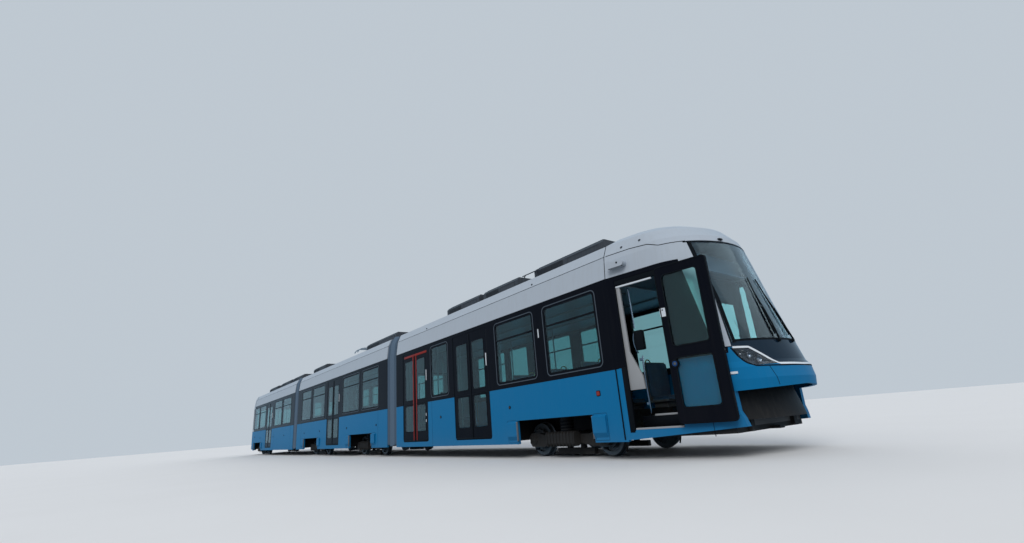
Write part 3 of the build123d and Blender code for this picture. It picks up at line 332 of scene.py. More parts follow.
finishes = {
    "maskGloss": paintMaterial("maskGloss", "mask", 2.6, 0.03, 0.04, 0.05, 0.0, 0.42),
    "sideLamp": glowMaterial("sideLamp", colours["lampDark"], 0.0),
    # The beads' lighter grey-blue is a painted highlight on the rounded rubber frames
    "beadPaintedHighlight": grainMaterial("beadRubberPaintedHighlight", "beadPaintedHighlight", 300.0, 0.5),
    "rubber": grainMaterial("rubber", "rubber", 300.0, 0.5, shader={"Specular IOR Level": 0.2}),
    "liner": grainMaterial("linerPlastic", "liner", 420.0, 0.5),
    "redPaint": paintMaterial("redPaint", "red", dustAmount=0.05, rough=0.4, coat=0.0, specular=0.2),
    "lining": grainMaterial("cabLining", "lining", 420.0, 0.5),
    "seatShell": grainMaterial("seatShell", "cabPlastic", 420.0, 0.42),
    "darkChrome": grainMaterial("darkChrome", "steelDark", 120.0, 0.2, 0.08, 0.0001, {"Metallic": 1.0}),
    "bulb": grainMaterial("bulb", "steel", 120.0, 0.15),
    "insulator": paintMaterial("glazedInsulator", "insulator", dustTop=4.4, rough=0.18, coat=0.5),
    "carbon": grainMaterial("carbon", "carbon", 260.0, 0.45),
    "yellow": grainMaterial("grabYellow", "grabYellow", 300.0, 0.4),
    "cream": grainMaterial("lipRubber", "cream", 180.0, 0.7, 0.4),
    "ledWhite": glowMaterial("ledWhite", colours["ledWhite"], 0.05),
    "ceilingLight": grainMaterial("ceilingLight", "liner", 300.0, 0.5),
    "amberLens": glowMaterial("amberLens", colours["amber"], 0.0),
    "redLens": glowMaterial("redLens", colours["red"], 0.0),
    "ringBlue": glowMaterial("ringBlue", colours["ringBlue"], 0.05),
    "screenDark": glassMaterial("screenDark", (0.01, 0.012, 0.015), 0.08, 0.0),
    "labelWhite": grainMaterial("labelWhite", "ledWhite", 300.0, 0.5),
    "lampHousing": grainMaterial("lampHousing", "lampHousing", 300.0, 0.4),
    "darkCloth": grainMaterial("darkCloth", "darkCloth", 500.0, 0.85, 0.1, 0.001, {"Sheen Weight": 0.2}),
}

slotOf = {row["node"]: row["material_slot"] for row in frame["record"]["subparts"]}
for name, node in nodes.items():
    node.data.materials.clear()
    node.data.materials.append(finishes["maskGloss"] if name == "windscreen_mask" else materials[slotOf[name]])
print("materials on", len(nodes), "nodes")

# Makers of shapes: each adds to a bmesh that holds one piece
def shapes(count):
    return [bmesh.new() for number in range(count)]


def finishPiece(bm, name, bodyName, slotName, finish=None, sharpAngle=35):
    bmesh.ops.recalc_face_normals(bm, faces=bm.faces)
    mesh = bpy.data.meshes.new(name)
    bm.to_mesh(mesh)
    bm.free()
    mesh.materials.append(finishes[finish] if finish else materials[slotName])
    mesh.shade_smooth()
    mesh.set_sharp_from_angle(angle=math.radians(sharpAngle))
    piece = bpy.data.objects.new(name, mesh)
    scene.collection.objects.link(piece)
    if bodyName:
        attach(piece, bodyName)
    return piece


# Several pieces of one body: (bmesh, name, slot), and a finish where it isn't the slot's own material
def finishAll(bodyName, *rows, prefix=""):
    for bm, name, *look in rows:
        finishPiece(bm, prefix + name, bodyName, *look)


def placed(bm, part, place=None):
    if place is not None:
        bmesh.ops.transform(part, matrix=place, verts=part.verts)
    mesh = bpy.data.meshes.new("scratch")
    part.to_mesh(mesh)
    part.free()
    bm.from_mesh(mesh)
    bpy.data.meshes.remove(mesh)


def bevelled(part, geom, offset, segments=2, affect="EDGES"):
    bmesh.ops.bevel(part, geom=geom, offset=offset, segments=segments, profile=0.5, affect=affect, material=-1)


def vertsOf(made):
    return [item for item in made if isinstance(item, bmesh.types.BMVert)]


def thicken(part, offset):
    made = bmesh.ops.extrude_face_region(part, geom=part.faces[:])["geom"]
    bmesh.ops.translate(part, vec=offset, verts=vertsOf(made))


def around(middle, reach):
    return middle - reach, middle + reach


def grown(span, gap):
    return span[0] - gap, span[1] + gap


def sideSpan(side, first, second):
    return tuple(sorted((side * first, side * second)))


def mirroredPath(path):
    return path[:-1] + [(-a, b) for a, b in path[::-1]]


def ringSpots(count, radius, first=0):
    turns = [math.radians(first + 360 / count * step) for step in range(count)]
    return [(radius * math.cos(turn), radius * math.sin(turn)) for turn in turns]


def addBox(bm, low, high, bevel=0.0, place=None):
    part = bmesh.new()
    bmesh.ops.create_cube(part, size=1.0)
    bmesh.ops.scale(part, vec=[b - a for a, b in zip(low, high)], verts=part.verts)
    bmesh.ops.translate(part, vec=[(a + b) / 2 for a, b in zip(low, high)], verts=part.verts)
    if bevel:
        bevelled(part, part.edges[:], bevel)
    placed(bm, part, place)


# A box from its span along each axis
def addSpans(bm, spanX, spanY, spanZ, bevel=0.0, place=None):
    addBox(bm, *zip(spanX, spanY, spanZ), bevel, place)


def roundedFace(part, spanX, spanZ, radius):
    corners = [(spanX[0], spanZ[0]), (spanX[1], spanZ[0]), (spanX[1], spanZ[1]), (spanX[0], spanZ[1])]
    part.faces.new([part.verts.new((x, z, 0)) for x, z in corners])
    if radius:
        bevelled(part, part.verts[:], radius, 5, "VERTICES")


def raiseFaces(part, base, thickness):
    thicken(part, (0, 0, thickness))
    bmesh.ops.translate(part, vec=(0, 0, base), verts=part.verts)


# A rounded plate or frame on a wall: spans along and up the wall, then how far out it starts and its thickness
def addPlate(bm, place, spanX, spanZ, radius, base, thickness):
    part = bmesh.new()
    roundedFace(part, spanX, spanZ, radius)
    raiseFaces(part, base, thickness)
    placed(bm, part, place)


def addRing(bm, place, spanX, spanZ, radius, band, base, thickness):
    part = bmesh.new()
    roundedFace(part, spanX, spanZ, radius)
    ring = set(bmesh.ops.inset_region(part, faces=part.faces[:], thickness=band, use_boundary=True,
                                      use_even_offset=True)["faces"])
    bmesh.ops.delete(part, geom=[face for face in part.faces if face not in ring], context="FACES")
    raiseFaces(part, base, thickness)
    placed(bm, part, place)


def facing(centre, axis):
    return Matrix.Translation(centre) @ Vector(axis).to_track_quat("Z", "Y").to_matrix().to_4x4()


# A disc that may narrow towards its outer face
def addDisc(bm, centre, axis, radius, depth, segments=20, outerRadius=None, bevel=0.0):
    part = bmesh.new()
    bmesh.ops.create_cone(part, cap_ends=True, segments=segments, radius1=radius,
                          radius2=radius if outerRadius is None else outerRadius, depth=depth)
    if bevel:
        rims = [edge for edge in part.edges if abs(edge.verts[0].co.z - edge.verts[1].co.z) < 1e-6]
        bevelled(part, rims, bevel)
    placed(bm, part, facing(centre, axis))


# A turned shape from (radius, height) points along its axis
def addTurned(bm, profile, centre, axis=(0, 0, 1), steps=20):
    part = bmesh.new()
    row = [part.verts.new((radius, 0, height)) for radius, height in profile]
    edges = [part.edges.new(pair) for pair in zip(row, row[1:])]
    bmesh.ops.spin(part, geom=row + edges, cent=(0, 0, 0), axis=(0, 0, 1), angle=2 * math.pi, steps=steps,
                   use_merge=True)
    bmesh.ops.remove_doubles(part, verts=part.verts, dist=1e-5)
    placed(bm, part, facing(centre, axis))


# Round bars and pipes along paths, with bends rounded where rounded is true
def addTubes(bm, paths, radius, rounded=False, fineness=2):
    curve = bpy.data.curves.new("tubes", "CURVE")
    curve.dimensions = "3D"
    curve.bevel_depth = radius
    curve.bevel_resolution = fineness
    curve.use_fill_caps = True
    curve.resolution_u = 6
    for path in paths:
        spline = curve.splines.new("NURBS" if rounded else "POLY")
        spline.points.add(len(path) - 1)
        for point, spot in zip(spline.points, path):
            point.co = (*spot, 1)
        if rounded:
            spline.order_u = 3
            spline.use_endpoint_u = True
    holder = bpy.data.objects.new("tubes", curve)
    mesh = bpy.data.meshes.new_from_object(holder)
    bm.from_mesh(mesh)
    bpy.data.objects.remove(holder)
    bpy.data.curves.remove(curve)
    bpy.data.meshes.remove(mesh)


def wallPlace(side, originX=0.0, taper=0.0):
    scale = math.sqrt(1 + taper * taper)
    along = Vector((1, -side * taper, 0)) / scale
    outward = Vector((taper, side, 0)) / scale
    place = Matrix((along, (0, 0, 1), outward)).transposed().to_4x4()
    place.translation = (originX, side * body["half"], 0)
    return place


def surfaceOf(*names):
    spots, faces = [], []
    for name in names:
        mesh = nodes[name].data
        base = len(spots)
        spots += [vert.co.copy() for vert in mesh.vertices]
        faces += [[base + index for index in polygon.vertices] for polygon in mesh.polygons]
    return BVHTree.FromPolygons(spots, faces)


aims = {
    "front": (lambda a, b: Vector((18, a, b)), Vector((-1, 0, 0))),
    "back": (lambda a, b: Vector((-18, a, b)), Vector((1, 0, 0))),
    "right": (lambda a, b: Vector((a, -3, b)), Vector((0, 1, 0))),
    "left": (lambda a, b: Vector((a, 3, b)), Vector((0, -1, 0))),
}


def landed(surface, aim, a, b, lift=0.0):
    start, way = aims[aim][0](a, b), aims[aim][1]
    spot, normal = surface.ray_cast(start, way)[:2]
    if spot is None:
        spot, normal = surface.find_nearest(start)[:2]
    if normal.dot(way) > 0:
        normal = -normal
    return spot + normal * lift


def sideAim(side):
    return "left" if side > 0 else "right"


# A small plate that follows a curved wall: roundness 1 is a disc
def addPatch(bm, surface, aim, centre, size, thickness, roundness=0.0, cuts=6):
    part = bmesh.new()
    bmesh.ops.create_grid(part, x_segments=cuts, y_segments=cuts, size=1.0)
    for vert in part.verts:
        u, v = vert.co.x, vert.co.y
        a = u * math.sqrt(1 - roundness * v * v / 2) * size[0] / 2
        b = v * math.sqrt(1 - roundness * u * u / 2) * size[1] / 2
        vert.co = landed(surface, aim, centre[0] + a, centre[1] + b)
    thicken(part, -aims[aim][1] * thickness)
    placed(bm, part)


# A strip along a path on a curved wall
def addRibbon(bm, surface, aim, path, width, thickness, lift=0.0, steps=24):
    spots = [Vector(spot) for spot in path]
    lengths = [(b - a).length for a, b in zip(spots, spots[1:])]
    part = bmesh.new()
    bmesh.ops.create_grid(part, x_segments=steps, y_segments=1, size=0.5)
    for vert in part.verts:
        reach = (vert.co.x + 0.5) * sum(lengths) * 0.99999
        number = 0
        while reach > lengths[number]:
            reach -= lengths[number]
            number += 1
        along = (spots[number + 1] - spots[number]).normalized()
        spot = spots[number] + along * reach + Vector((-along.y, along.x)) * vert.co.y * width
        vert.co = landed(surface, aim, spot.x, spot.y, lift)
    thicken(part, -aims[aim][1] * thickness)
    placed(bm, part)


# Boxes of the separate solids in a node, as (low, high)
def solidBoxes(name):
    part = bmesh.new()
    part.from_mesh(nodes[name].data)
    bmesh.ops.remove_doubles(part, verts=part.verts, dist=1e-5)
    found, seen = [], set()
    for first in part.verts:
        if first in seen:
            continue
        seen.add(first)
        island, waiting = [], [first]
        while waiting:
            vert = waiting.pop()
            island.append(vert.co.copy())
            for edge in vert.link_edges:
                other = edge.other_vert(vert)
                if other not in seen:
                    seen.add(other)
                    waiting.append(other)
        found.append(tuple(Vector([pick(spot[i] for spot in island) for i in range(3)]) for pick in (min, max)))
    part.free()
    return sorted(found, key=lambda pair: (pair[0].x, pair[0].y, pair[0].z))


# What the CAD frame gives: half width, heights, and where sections, doors and bogies are along the tram
body = {"half": 1.325, "skirt": 0.27, "belt": 1.37, "bandTop": 2.87, "seam": 3.27, "crown": 3.54, "pivot": 5.5}
sections = {
    "front": {"span": (5.83, 14.28), "bogies": [12.56], "doors": [(6.29, 7.79), (9.14, 10.64)],
              "body": "front_section"},
    "middle": {"span": (-5.17, 5.17), "bogies": [-2.9, 2.9], "doors": [(-0.75, 0.75)], "body": "middle_section"},
    "rear": {"span": (-15.5, -5.83), "bogies": [-14.15], "doors": [(-11.95, -10.45)], "body": "rear_section"},
}
sides = (-1, 1)

# Pleated bellows over each articulation, ridges out and valleys in, with a wider frame over the hoop
bellows = {
    "outline": [(1.298, 0.335), (1.312, 0.335), (1.312, 2.87), (1.264, 3.265), (1.168, 3.468), (0.6, 3.497),
                (0, 3.527)],
    "rows": [(-0.325, 0.0), (-0.30, 0.0), (-0.262, 0.075), (-0.225, 0.006), (-0.188, 0.075), (-0.151, 0.0),
             (-0.114, -0.016), (-0.078, -0.026), (-0.05, -0.030), (0.05, -0.030), (0.078, -0.026), (0.114, -0.016),
             (0.151, 0.0), (0.188, 0.075), (0.225, 0.006), (0.262, 0.075), (0.30, 0.0), (0.325, 0.0)],
    "middleZ": 1.9, "halfY": 1.312, "halfZ": 1.565, "cloth": 0.004, "reach": 0.33, "blendZ": 1.5,
}
for end, way in (("front", 1), ("rear", -1)):
    pivotX = way * body["pivot"]
    bm = bmesh.new()
    firstX = bellows["rows"][0][0]
    ring = [bm.verts.new((pivotX + firstX, y, z)) for y, z in mirroredPath(bellows["outline"])]
    edges = [bm.edges.new(pair) for pair in zip(ring, ring[1:])]
    before, beforeX = 0.0, firstX
    for rowX, depth in bellows["rows"][1:]:
        made = bmesh.ops.extrude_edge_only(bm, edges=edges)["geom"]
        fresh = vertsOf(made)
        edges = [g for g in made if isinstance(g, bmesh.types.BMEdge) and all(vert in fresh for vert in g.verts)]
        shrinkY, shrinkZ = [(bellows[key] - depth) / (bellows[key] - before) for key in ("halfY", "halfZ")]
        bmesh.ops.scale(bm, vec=(1, shrinkY, shrinkZ), space=Matrix.Translation((0, 0, -bellows["middleZ"])),
                        verts=fresh)
        bmesh.ops.translate(bm, vec=(rowX - beforeX, 0, 0), verts=fresh)
        before, beforeX = depth, rowX
    bmesh.ops.solidify(bm, geom=bm.faces[:], thickness=bellows["cloth"])
    piece = finishPiece(bm, end + "_bellows", None, "bellows_grey")
    reach, z = bellows["reach"] * way, bellows["blendZ"]
    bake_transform(piece)
print("bellows made")

# Window frames: a raised bead round the outer glass, grey-blue as a painted highlight, a gasket round the clear part
# and a hopper bar
windowTrim = {"top": 2.72, "tall": 1.15, "margin": 0.055, "corner": 0.10, "beadPaintedHighlight": 0.017, "beadOut": 0.006,
              "gasketGap": 0.006, "gasketCorner": 0.062, "gasket": 0.014, "gasketIn": -0.006, "gasketThick": 0.007,
              "bar": (2.365, 2.399), "barDepth": (-0.03, 0.003), "barGap": 0.01, "barBevel": 0.003, "widest": 1.0}
for section, facts in sections.items():
    beads, gaskets = shapes(2)
    for low, high in solidBoxes(section + "_windows"):
        upper = abs(high.z - windowTrim["top"]) < 0.01 and high.z - low.z >= windowTrim["tall"]
        if abs(low.y - high.y) > 0.02 or not upper:
            continue
        place = wallPlace(1 if low.y > 0 else -1)
        spanX, spanZ = (low.x, high.x), (low.z, high.z)
        gap = windowTrim["margin"]
        addRing(beads, place, grown(spanX, gap), grown(spanZ, gap), windowTrim["corner"], windowTrim["beadPaintedHighlight"], 0.0,
                windowTrim["beadOut"])
        gap = windowTrim["gasketGap"]
        addRing(gaskets, place, grown(spanX, gap), grown(spanZ, gap), windowTrim["gasketCorner"], windowTrim["gasket"],
                windowTrim["gasketIn"], windowTrim["gasketThick"])
        if high.x - low.x > windowTrim["widest"]:
            addSpans(gaskets, grown(spanX, -windowTrim["barGap"]), windowTrim["bar"], windowTrim["barDepth"],
                     windowTrim["barBevel"], place)
    finishAll(facts["body"], (beads, "_window_beads_painted_highlight", "black_gloss", "beadPaintedHighlight"),
              (gaskets, "_window_gaskets", "black_gloss", "rubber"), prefix=section)
print("window frames made")

# Door trim: gaskets, meeting edges, handles of light, and the red edges of the rearmost front door
doorTrim = {"leafOut": -0.008, "glassZ": ((0.65, 1.33), (1.48, 2.56)), "outer": 0.15, "inner": 0.10, "gasketGap": 0.012,
            "corner": 0.07, "gasket": 0.018, "meeting": (0.002, 0.022), "meetingZ": (0.42, 2.76), "jambZ": (0.45, 2.73),
            "handle": (0.068, 1.93, 2.21), "sweep": (0.405, 0.44), "bevel": 0.003, "barX": 0.09, "barZ": (0.75, 1.9),
            "barIn": -0.10, "barRadius": 0.014}
doorLabels = {"spots": [(0.165, 1.235), (0.130, 1.06), (0.130, 0.905)], "half": (0.020, 0.035), "out": 0.0025,
              "corner": 0.008, "single": ((12.40, 12.43), (2.21, 2.38))}
redEdges = {"fromMiddle": 0.088, "half": 0.024, "z": (0.43, 2.70), "depth": (-0.008, 0.001), "head": (0.10, 0.02),
            "headZ": (2.665, 2.725), "headDepth": (-0.008, 0.002), "bevel": 0.004}
for section, facts in sections.items():
    seals, handles, labels = shapes(3)
    place = wallPlace(-1)
    base, gap, bevel = doorTrim["leafOut"], doorTrim["gasketGap"], doorTrim["bevel"]
    for a, b in facts["doors"]:
        middle = (a + b) / 2
        for spanX in ((a + doorTrim["outer"], middle - doorTrim["inner"]),
                      (middle + doorTrim["inner"], b - doorTrim["outer"])):
            for spanZ in doorTrim["glassZ"]:
                addRing(seals, place, grown(spanX, gap), grown(spanZ, gap), doorTrim["corner"], doorTrim["gasket"],
                        base - 0.004, 0.008)
        for half in sides:
            near, far = doorTrim["meeting"]
            spanX = sorted((middle + half * near, middle + half * far))
            addSpans(seals, spanX, doorTrim["meetingZ"], (base, base + 0.010), bevel, place)
        for x in grown((a, b), -0.012):
            addSpans(seals, around(x, 0.010), doorTrim["jambZ"], (base - 0.01, base + 0.006), bevel, place)
        addSpans(seals, grown((a, b), -0.03), doorTrim["sweep"], (base, base + 0.007), bevel, place)
        inset, z0, z1 = doorTrim["handle"]
        addSpans(handles, around(b - inset, 0.014), (z0, z1), (base, base + 0.012), 0.005, place)
        addTubes(seals, [[place @ Vector((x, z, doorTrim["barIn"])) for z in doorTrim["barZ"]]
                         for x in around(middle, doorTrim["barX"])], doorTrim["barRadius"])
    if section == "front":
        a, b = facts["doors"][0]
        halfX, halfZ = doorLabels["half"]
        for inset, z in doorLabels["spots"]:
            addPlate(labels, place, around(b - inset, halfX), around(z, halfZ), doorLabels["corner"], base,
                     doorLabels["out"])
        addPlate(labels, place, *doorLabels["single"], doorLabels["corner"], 0.0, 0.002)
        red = bmesh.new()
        for x in around((a + b) / 2, redEdges["fromMiddle"]):
            addSpans(red, around(x, redEdges["half"]), redEdges["z"], redEdges["depth"], redEdges["bevel"], place)
        addSpans(red, (a + redEdges["head"][0], b - redEdges["head"][1]), redEdges["headZ"], redEdges["headDepth"],
                 redEdges["bevel"], place)
        finishAll(facts["body"], (red, "front_door_red_edges", "black_gloss", "redPaint"),
                  (labels, "front_blank_labels", "white_paint", "labelWhite"))
    else:
        labels.free()
    finishAll(facts["body"], (seals, "_door_seals", "black_gloss", "rubber"),
              (handles, "_door_handles", "white_paint", "ledWhite"), prefix=section)
print("door trim made")

# Panel seams, side lamps, reflectors and the lips of the bogie openings
panelSeams = {"front": [8.0], "middle": [-4.45, 4.45], "rear": [-12.3, -9.9, -6.3], "half": 0.0025, "out": 0.0012,
              "in": -0.01, "alongHalf": 0.004, "alongOut": 0.0015}
sideLamps = {"front": [(8.457, 0.95), (11.325, 0.98)], "rear": [(-7.6, 0.95), (-10.0, 0.95), (-13.4, 0.95)],
             "middle": [(1.595, 0.95), (4.312, 0.94), (-1.623, 0.95), (-3.9, 0.94)], "out": 0.004,
             "rim": (0.034, 0.010, 20, 0.030), "lens": (0.022, 0.012, 20, 0.018)}
reflectors = {"front": 13.785, "middle": None, "rear": -15.1, "z": 1.035, "rimHalf": 0.045, "half": 0.034,
              "rim": (0.02, 0.0, 0.006), "lens": (0.014, 0.004, 0.006)}
openings = {"half": 1.03, "lipZ": (0.33, 0.690), "lipDepth": (-0.012, 0.030), "hatch": (0.02, 0.318),
            "hatchZ": (0.30, 0.722)}
for section, facts in sections.items():
    seams, rims, lenses, lips, reds = shapes(5)
    for side in sides:
        place = wallPlace(side)
        for x in panelSeams[section]:
            addSpans(seams, around(x, panelSeams["half"]), (body["skirt"] + 0.01, body["belt"]),
                     (panelSeams["in"], panelSeams["out"]), 0, place)
        for z in (body["belt"], body["bandTop"]):
            addSpans(seams, facts["span"], around(z, panelSeams["alongHalf"]),
                     (panelSeams["in"], panelSeams["alongOut"]), 0, place)
        for x, z in sideLamps[section]:
            centre = Vector((x, side * (body["half"] + sideLamps["out"]), z))
            addDisc(rims, centre, (0, side, 0), *sideLamps["rim"])
            addDisc(lenses, centre + Vector((0, side * sideLamps["out"], 0)), (0, side, 0), *sideLamps["lens"])
        if reflectors[section]:
            x, z = reflectors[section], reflectors["z"]
            for bm, half, look in ((rims, "rimHalf", "rim"), (reds, "half", "lens")):
                half = reflectors[half]
                addPlate(bm, place, around(x, half), around(z, half), *reflectors[look])
        for centre in facts["bogies"]:
            for way in (-1, 1):
                edge = centre + way * openings["half"]
                addSpans(lips, sorted((edge - way * 0.008, edge + way * 0.002)), openings["lipZ"], openings["lipDepth"],
                         0.003, place)
                near, far = openings["hatch"]
                addRing(seams, place, sorted((edge + way * near, edge + way * far)), openings["hatchZ"], 0.01, 0.004,
                        -0.004, 0.0055)
    finishAll(facts["body"], (seams, "_panel_seams", "black_gloss", "rubber"),
              (rims, "_side_lamp_rims", "black_gloss", "rubber"),
              (lenses, "_side_lamps", "lamp_lens", "sideLamp"),
              (lips, "_opening_lips", "bellows_grey", "cream"), prefix=section)
    if reflectors[section]:
        finishPiece(reds, section + "_side_reflectors", facts["body"], "lamp_lens", "redLens")
    else:
        reds.free()
print("side trim made")

# Roof: cant rail seam, end beads, plugs, lids and louvres on the boxes, and ducts between them
roofTrim = {"line": [(1.325, 2.87), (1.275, 3.27), (1.18, 3.48), (0, 3.54)], "lift": 0.001, "beadRadius": 0.006,
            "seamY": (1.2695, 1.2775), "plugs": [(7.69, 3.33), (12.28, 3.33)], "plugY": 1.255,
            "plug": (0.020, 0.016, 16, 0.016), "shortest": 0.5,
            "boxHalf": 0.82, "lidInset": (0.05, 0.09), "lid": (-0.004, 0.028), "handleY": 0.55, "handleRise": 0.045,
            "slats": 9, "slatStart": 0.028, "slatStep": 0.0165, "slatHigh": 0.007, "endGap": 0.12, "louvres": 0.45,
            "hatch": 0.52, "hatchZ": (0.02, 0.17), "ductY": (-0.45, 0.38), "ductHalf": 0.07, "ductZ": (0.012, 0.10)}
for section, facts in sections.items():
    seams, lids, ducts = shapes(3)
    for side in sides:
        addSpans(seams, facts["span"], sideSpan(side, *roofTrim["seamY"]), around(body["seam"], 0.004))
    for x in grown(facts["span"], -0.015):
        path = [(x, y, z + roofTrim["lift"]) for y, z in mirroredPath(roofTrim["line"])]
        addTubes(seams, [path], roofTrim["beadRadius"])
    if section == "front":
        for x, z in roofTrim["plugs"]:
            for side in sides:
                addDisc(ducts, (x, side * roofTrim["plugY"], z), (0, side, 0.45), *roofTrim["plug"])
    boxes = [pair for pair in solidBoxes(section + "_roof_boxes") if pair[1].x - pair[0].x > roofTrim["shortest"]]
    bottom = body["crown"] + 0.05
    for low, high in boxes:
        spanX, length, top = (low.x, high.x), high.x - low.x, high.z
        insetX, insetY = roofTrim["lidInset"]
        lidZ = [top + z for z in roofTrim["lid"]]
        addSpans(lids, grown(spanX, -insetX), grown((low.y, high.y), -insetY), lidZ, 0.012)
        for x in grown(spanX, -0.3):
            for side in sides:
                y, z0, z1 = side * roofTrim["handleY"], top + 0.02, top + 0.02 + roofTrim["handleRise"]
                a, b = around(x, 0.07)
                addTubes(lids, [[(a, y, z0), (a, y, z1), (b, y, z1), (b, y, z0)]], 0.009, True)
        for side in sides:
            spanY = sideSpan(side, roofTrim["boxHalf"] - 0.004, roofTrim["boxHalf"] + 0.010)
            for number in range(roofTrim["slats"]):
                z = bottom + roofTrim["slatStart"] + number * roofTrim["slatStep"]
                addSpans(lids, (low.x + roofTrim["endGap"], low.x + length * roofTrim["louvres"]), spanY,
                         (z, z + roofTrim["slatHigh"]))
            addRing(lids, wallPlace(side), (low.x + length * roofTrim["hatch"], high.x - roofTrim["endGap"]),
                    [bottom + z for z in roofTrim["hatchZ"]], 0.015, 0.012, roofTrim["boxHalf"] - body["half"], 0.006)
    for behind, ahead in zip(boxes, boxes[1:]):
        for y in roofTrim["ductY"]:
            addSpans(ducts, grown((behind[1].x, ahead[0].x), 0.02), around(y, roofTrim["ductHalf"]),
                     [body["crown"] + z for z in roofTrim["ductZ"]], 0.012)
    finishAll(facts["body"], (seams, "_roof_seams", "black_gloss", "rubber"),
              (lids, "_roof_box_lids", "roof_grey"),
              (ducts, "_roof_ducts", "roof_grey"), prefix=section)

cableBracket = {"feet": (11.56, 11.98), "post": [(0, -0.86, 3.505), (0, -0.86, 3.74), (0.03, -0.80, 3.80)],
                "bar": [(11.50, -0.83, 3.775), (11.77, -0.86, 3.765), (12.04, -0.83, 3.775)], "radius": 0.012}
bm = bmesh.new()
for foot in cableBracket["feet"]:
    addTubes(bm, [[(foot + x, y, z) for x, y, z in cableBracket["post"]]], cableBracket["radius"], True)
addTubes(bm, [cableBracket["bar"]], cableBracket["radius"], True)
finishPiece(bm, "roof_cable_bracket", "front_section", "roof_grey")
print("roof trim made")

# Current collector: ribbed insulators, springs, the thin coupling rod on the arm and carbon strips on the head
collector = {"insulatorXs": (-0.6, 0.9), "railY": 0.42, "footZ": 3.525, "ribs": 5, "ribStep": 0.016, "core": 0.030,
             "ribRadius": 0.052, "insulatorHigh": 0.105, "springY": 0.30, "springZ": 3.71, "coil": 0.028, "turn": 0.7,
             "coilSteps": 90, "rod": [(0.42, 0.115, 3.68), (-0.40, 0.105, 3.735), (-0.98, 0.100, 3.725)],
             "pivotY": 0.11, "pivot": (0.024, 0.022, 16),
             "stripXs": (0.75, 1.05), "stripHalf": (0.022, 0.53), "stripZ": (3.912, 3.925)}
bm = bmesh.new()
profile = [(collector["core"], 0)]
for number in range(collector["ribs"]):
    for radius, rise in (("core", 0), ("ribRadius", 0.004), ("ribRadius", 0.007), ("core", 0.011)):
        profile.append((collector[radius], 0.012 + number * collector["ribStep"] + rise))
profile.append((collector["core"], collector["insulatorHigh"]))
for x in collector["insulatorXs"]:
    for side in sides:
        addTurned(bm, profile, (x, side * collector["railY"], collector["footZ"]), steps=18)
finishPiece(bm, "collector_insulators", "middle_section", "roof_grey", "insulator")
bm = bmesh.new()
for side in sides:
    y, z = side * collector["springY"], collector["springZ"]
    coil = [(0.36 - step * 0.004, y + collector["coil"] * math.cos(step * collector["turn"]),
             z + collector["coil"] * math.sin(step * collector["turn"])) for step in range(collector["coilSteps"])]
    addTubes(bm, [coil], 0.005, fineness=1)
    addTubes(bm, [[(0.47, y, z), (-0.12, y, z)]], 0.009)
addBox(bm, (-0.10, -0.36, 3.67), (-0.04, 0.36, 3.70), 0.006)
finishPiece(bm, "collector_springs", "middle_section", "steel")
bm = bmesh.new()
addTubes(bm, [collector["rod"]], 0.010)
for x, y, z in collector["rod"][::2]:
    addDisc(bm, (x, collector["pivotY"], z), (0, 1, 0), *collector["pivot"], bevel=0.003)
addBox(bm, (0.40, 0.095, 3.675), (0.52, 0.125, 3.735), 0.006)
finishPiece(bm, "collector_coupling_rod", "pantograph_lower_arm", "steel")
bm = bmesh.new()
halfX, halfY = collector["stripHalf"]
for x in collector["stripXs"]:
    addSpans(bm, around(x, halfX), (-halfY, halfY), collector["stripZ"], 0.004)
finishPiece(bm, "collector_carbon_strips", "collector_head", "roof_grey", "carbon")
print("collector trim made")

# Running gear: axle box covers with bolts, motor fins, rubber springs and sand pipes
gear = {"axleZ": 0.325, "axleReach": 0.9, "coverY": 1.014, "cover": (0.088, 0.020, 28, 0.080, 0.003),
        "capY": 1.026, "cap": (0.045, 0.016, 24, 0.040, 0.003), "bolt": (0.010, 0.012, 6), "boltRing": 0.066,
        "fins": 9, "finStart": 0.34, "finStep": 0.085, "finY": (1.03, 1.192), "finZ": (0.205, 0.465),
        "bracketY": (1.0, 1.03), "bracketZ": (0.30, 0.60), "springY": 0.955, "springLevels": 4, "springFoot": 0.45,
        "springStep": 0.055, "springRing": [(0.121, 0), (0.135, 0.010), (0.135, 0.022), (0.121, 0.032)],
        "sandPipe": [(1.04, 0.90, 0.40), (1.16, 0.86, 0.38), (1.20, 0.77, 0.20), (1.17, 0.755, 0.085)],
        "wheelBolt": (0.014, 0.03, 6), "wheelBoltRing": 0.17, "wheelBoltY": 0.742, "wheelRingY": 0.817,
        "wheelRing": [(0.236, -0.006), (0.244, -0.006), (0.244, 0.004), (0.236, 0.004)]}
axleZ = gear["axleZ"]
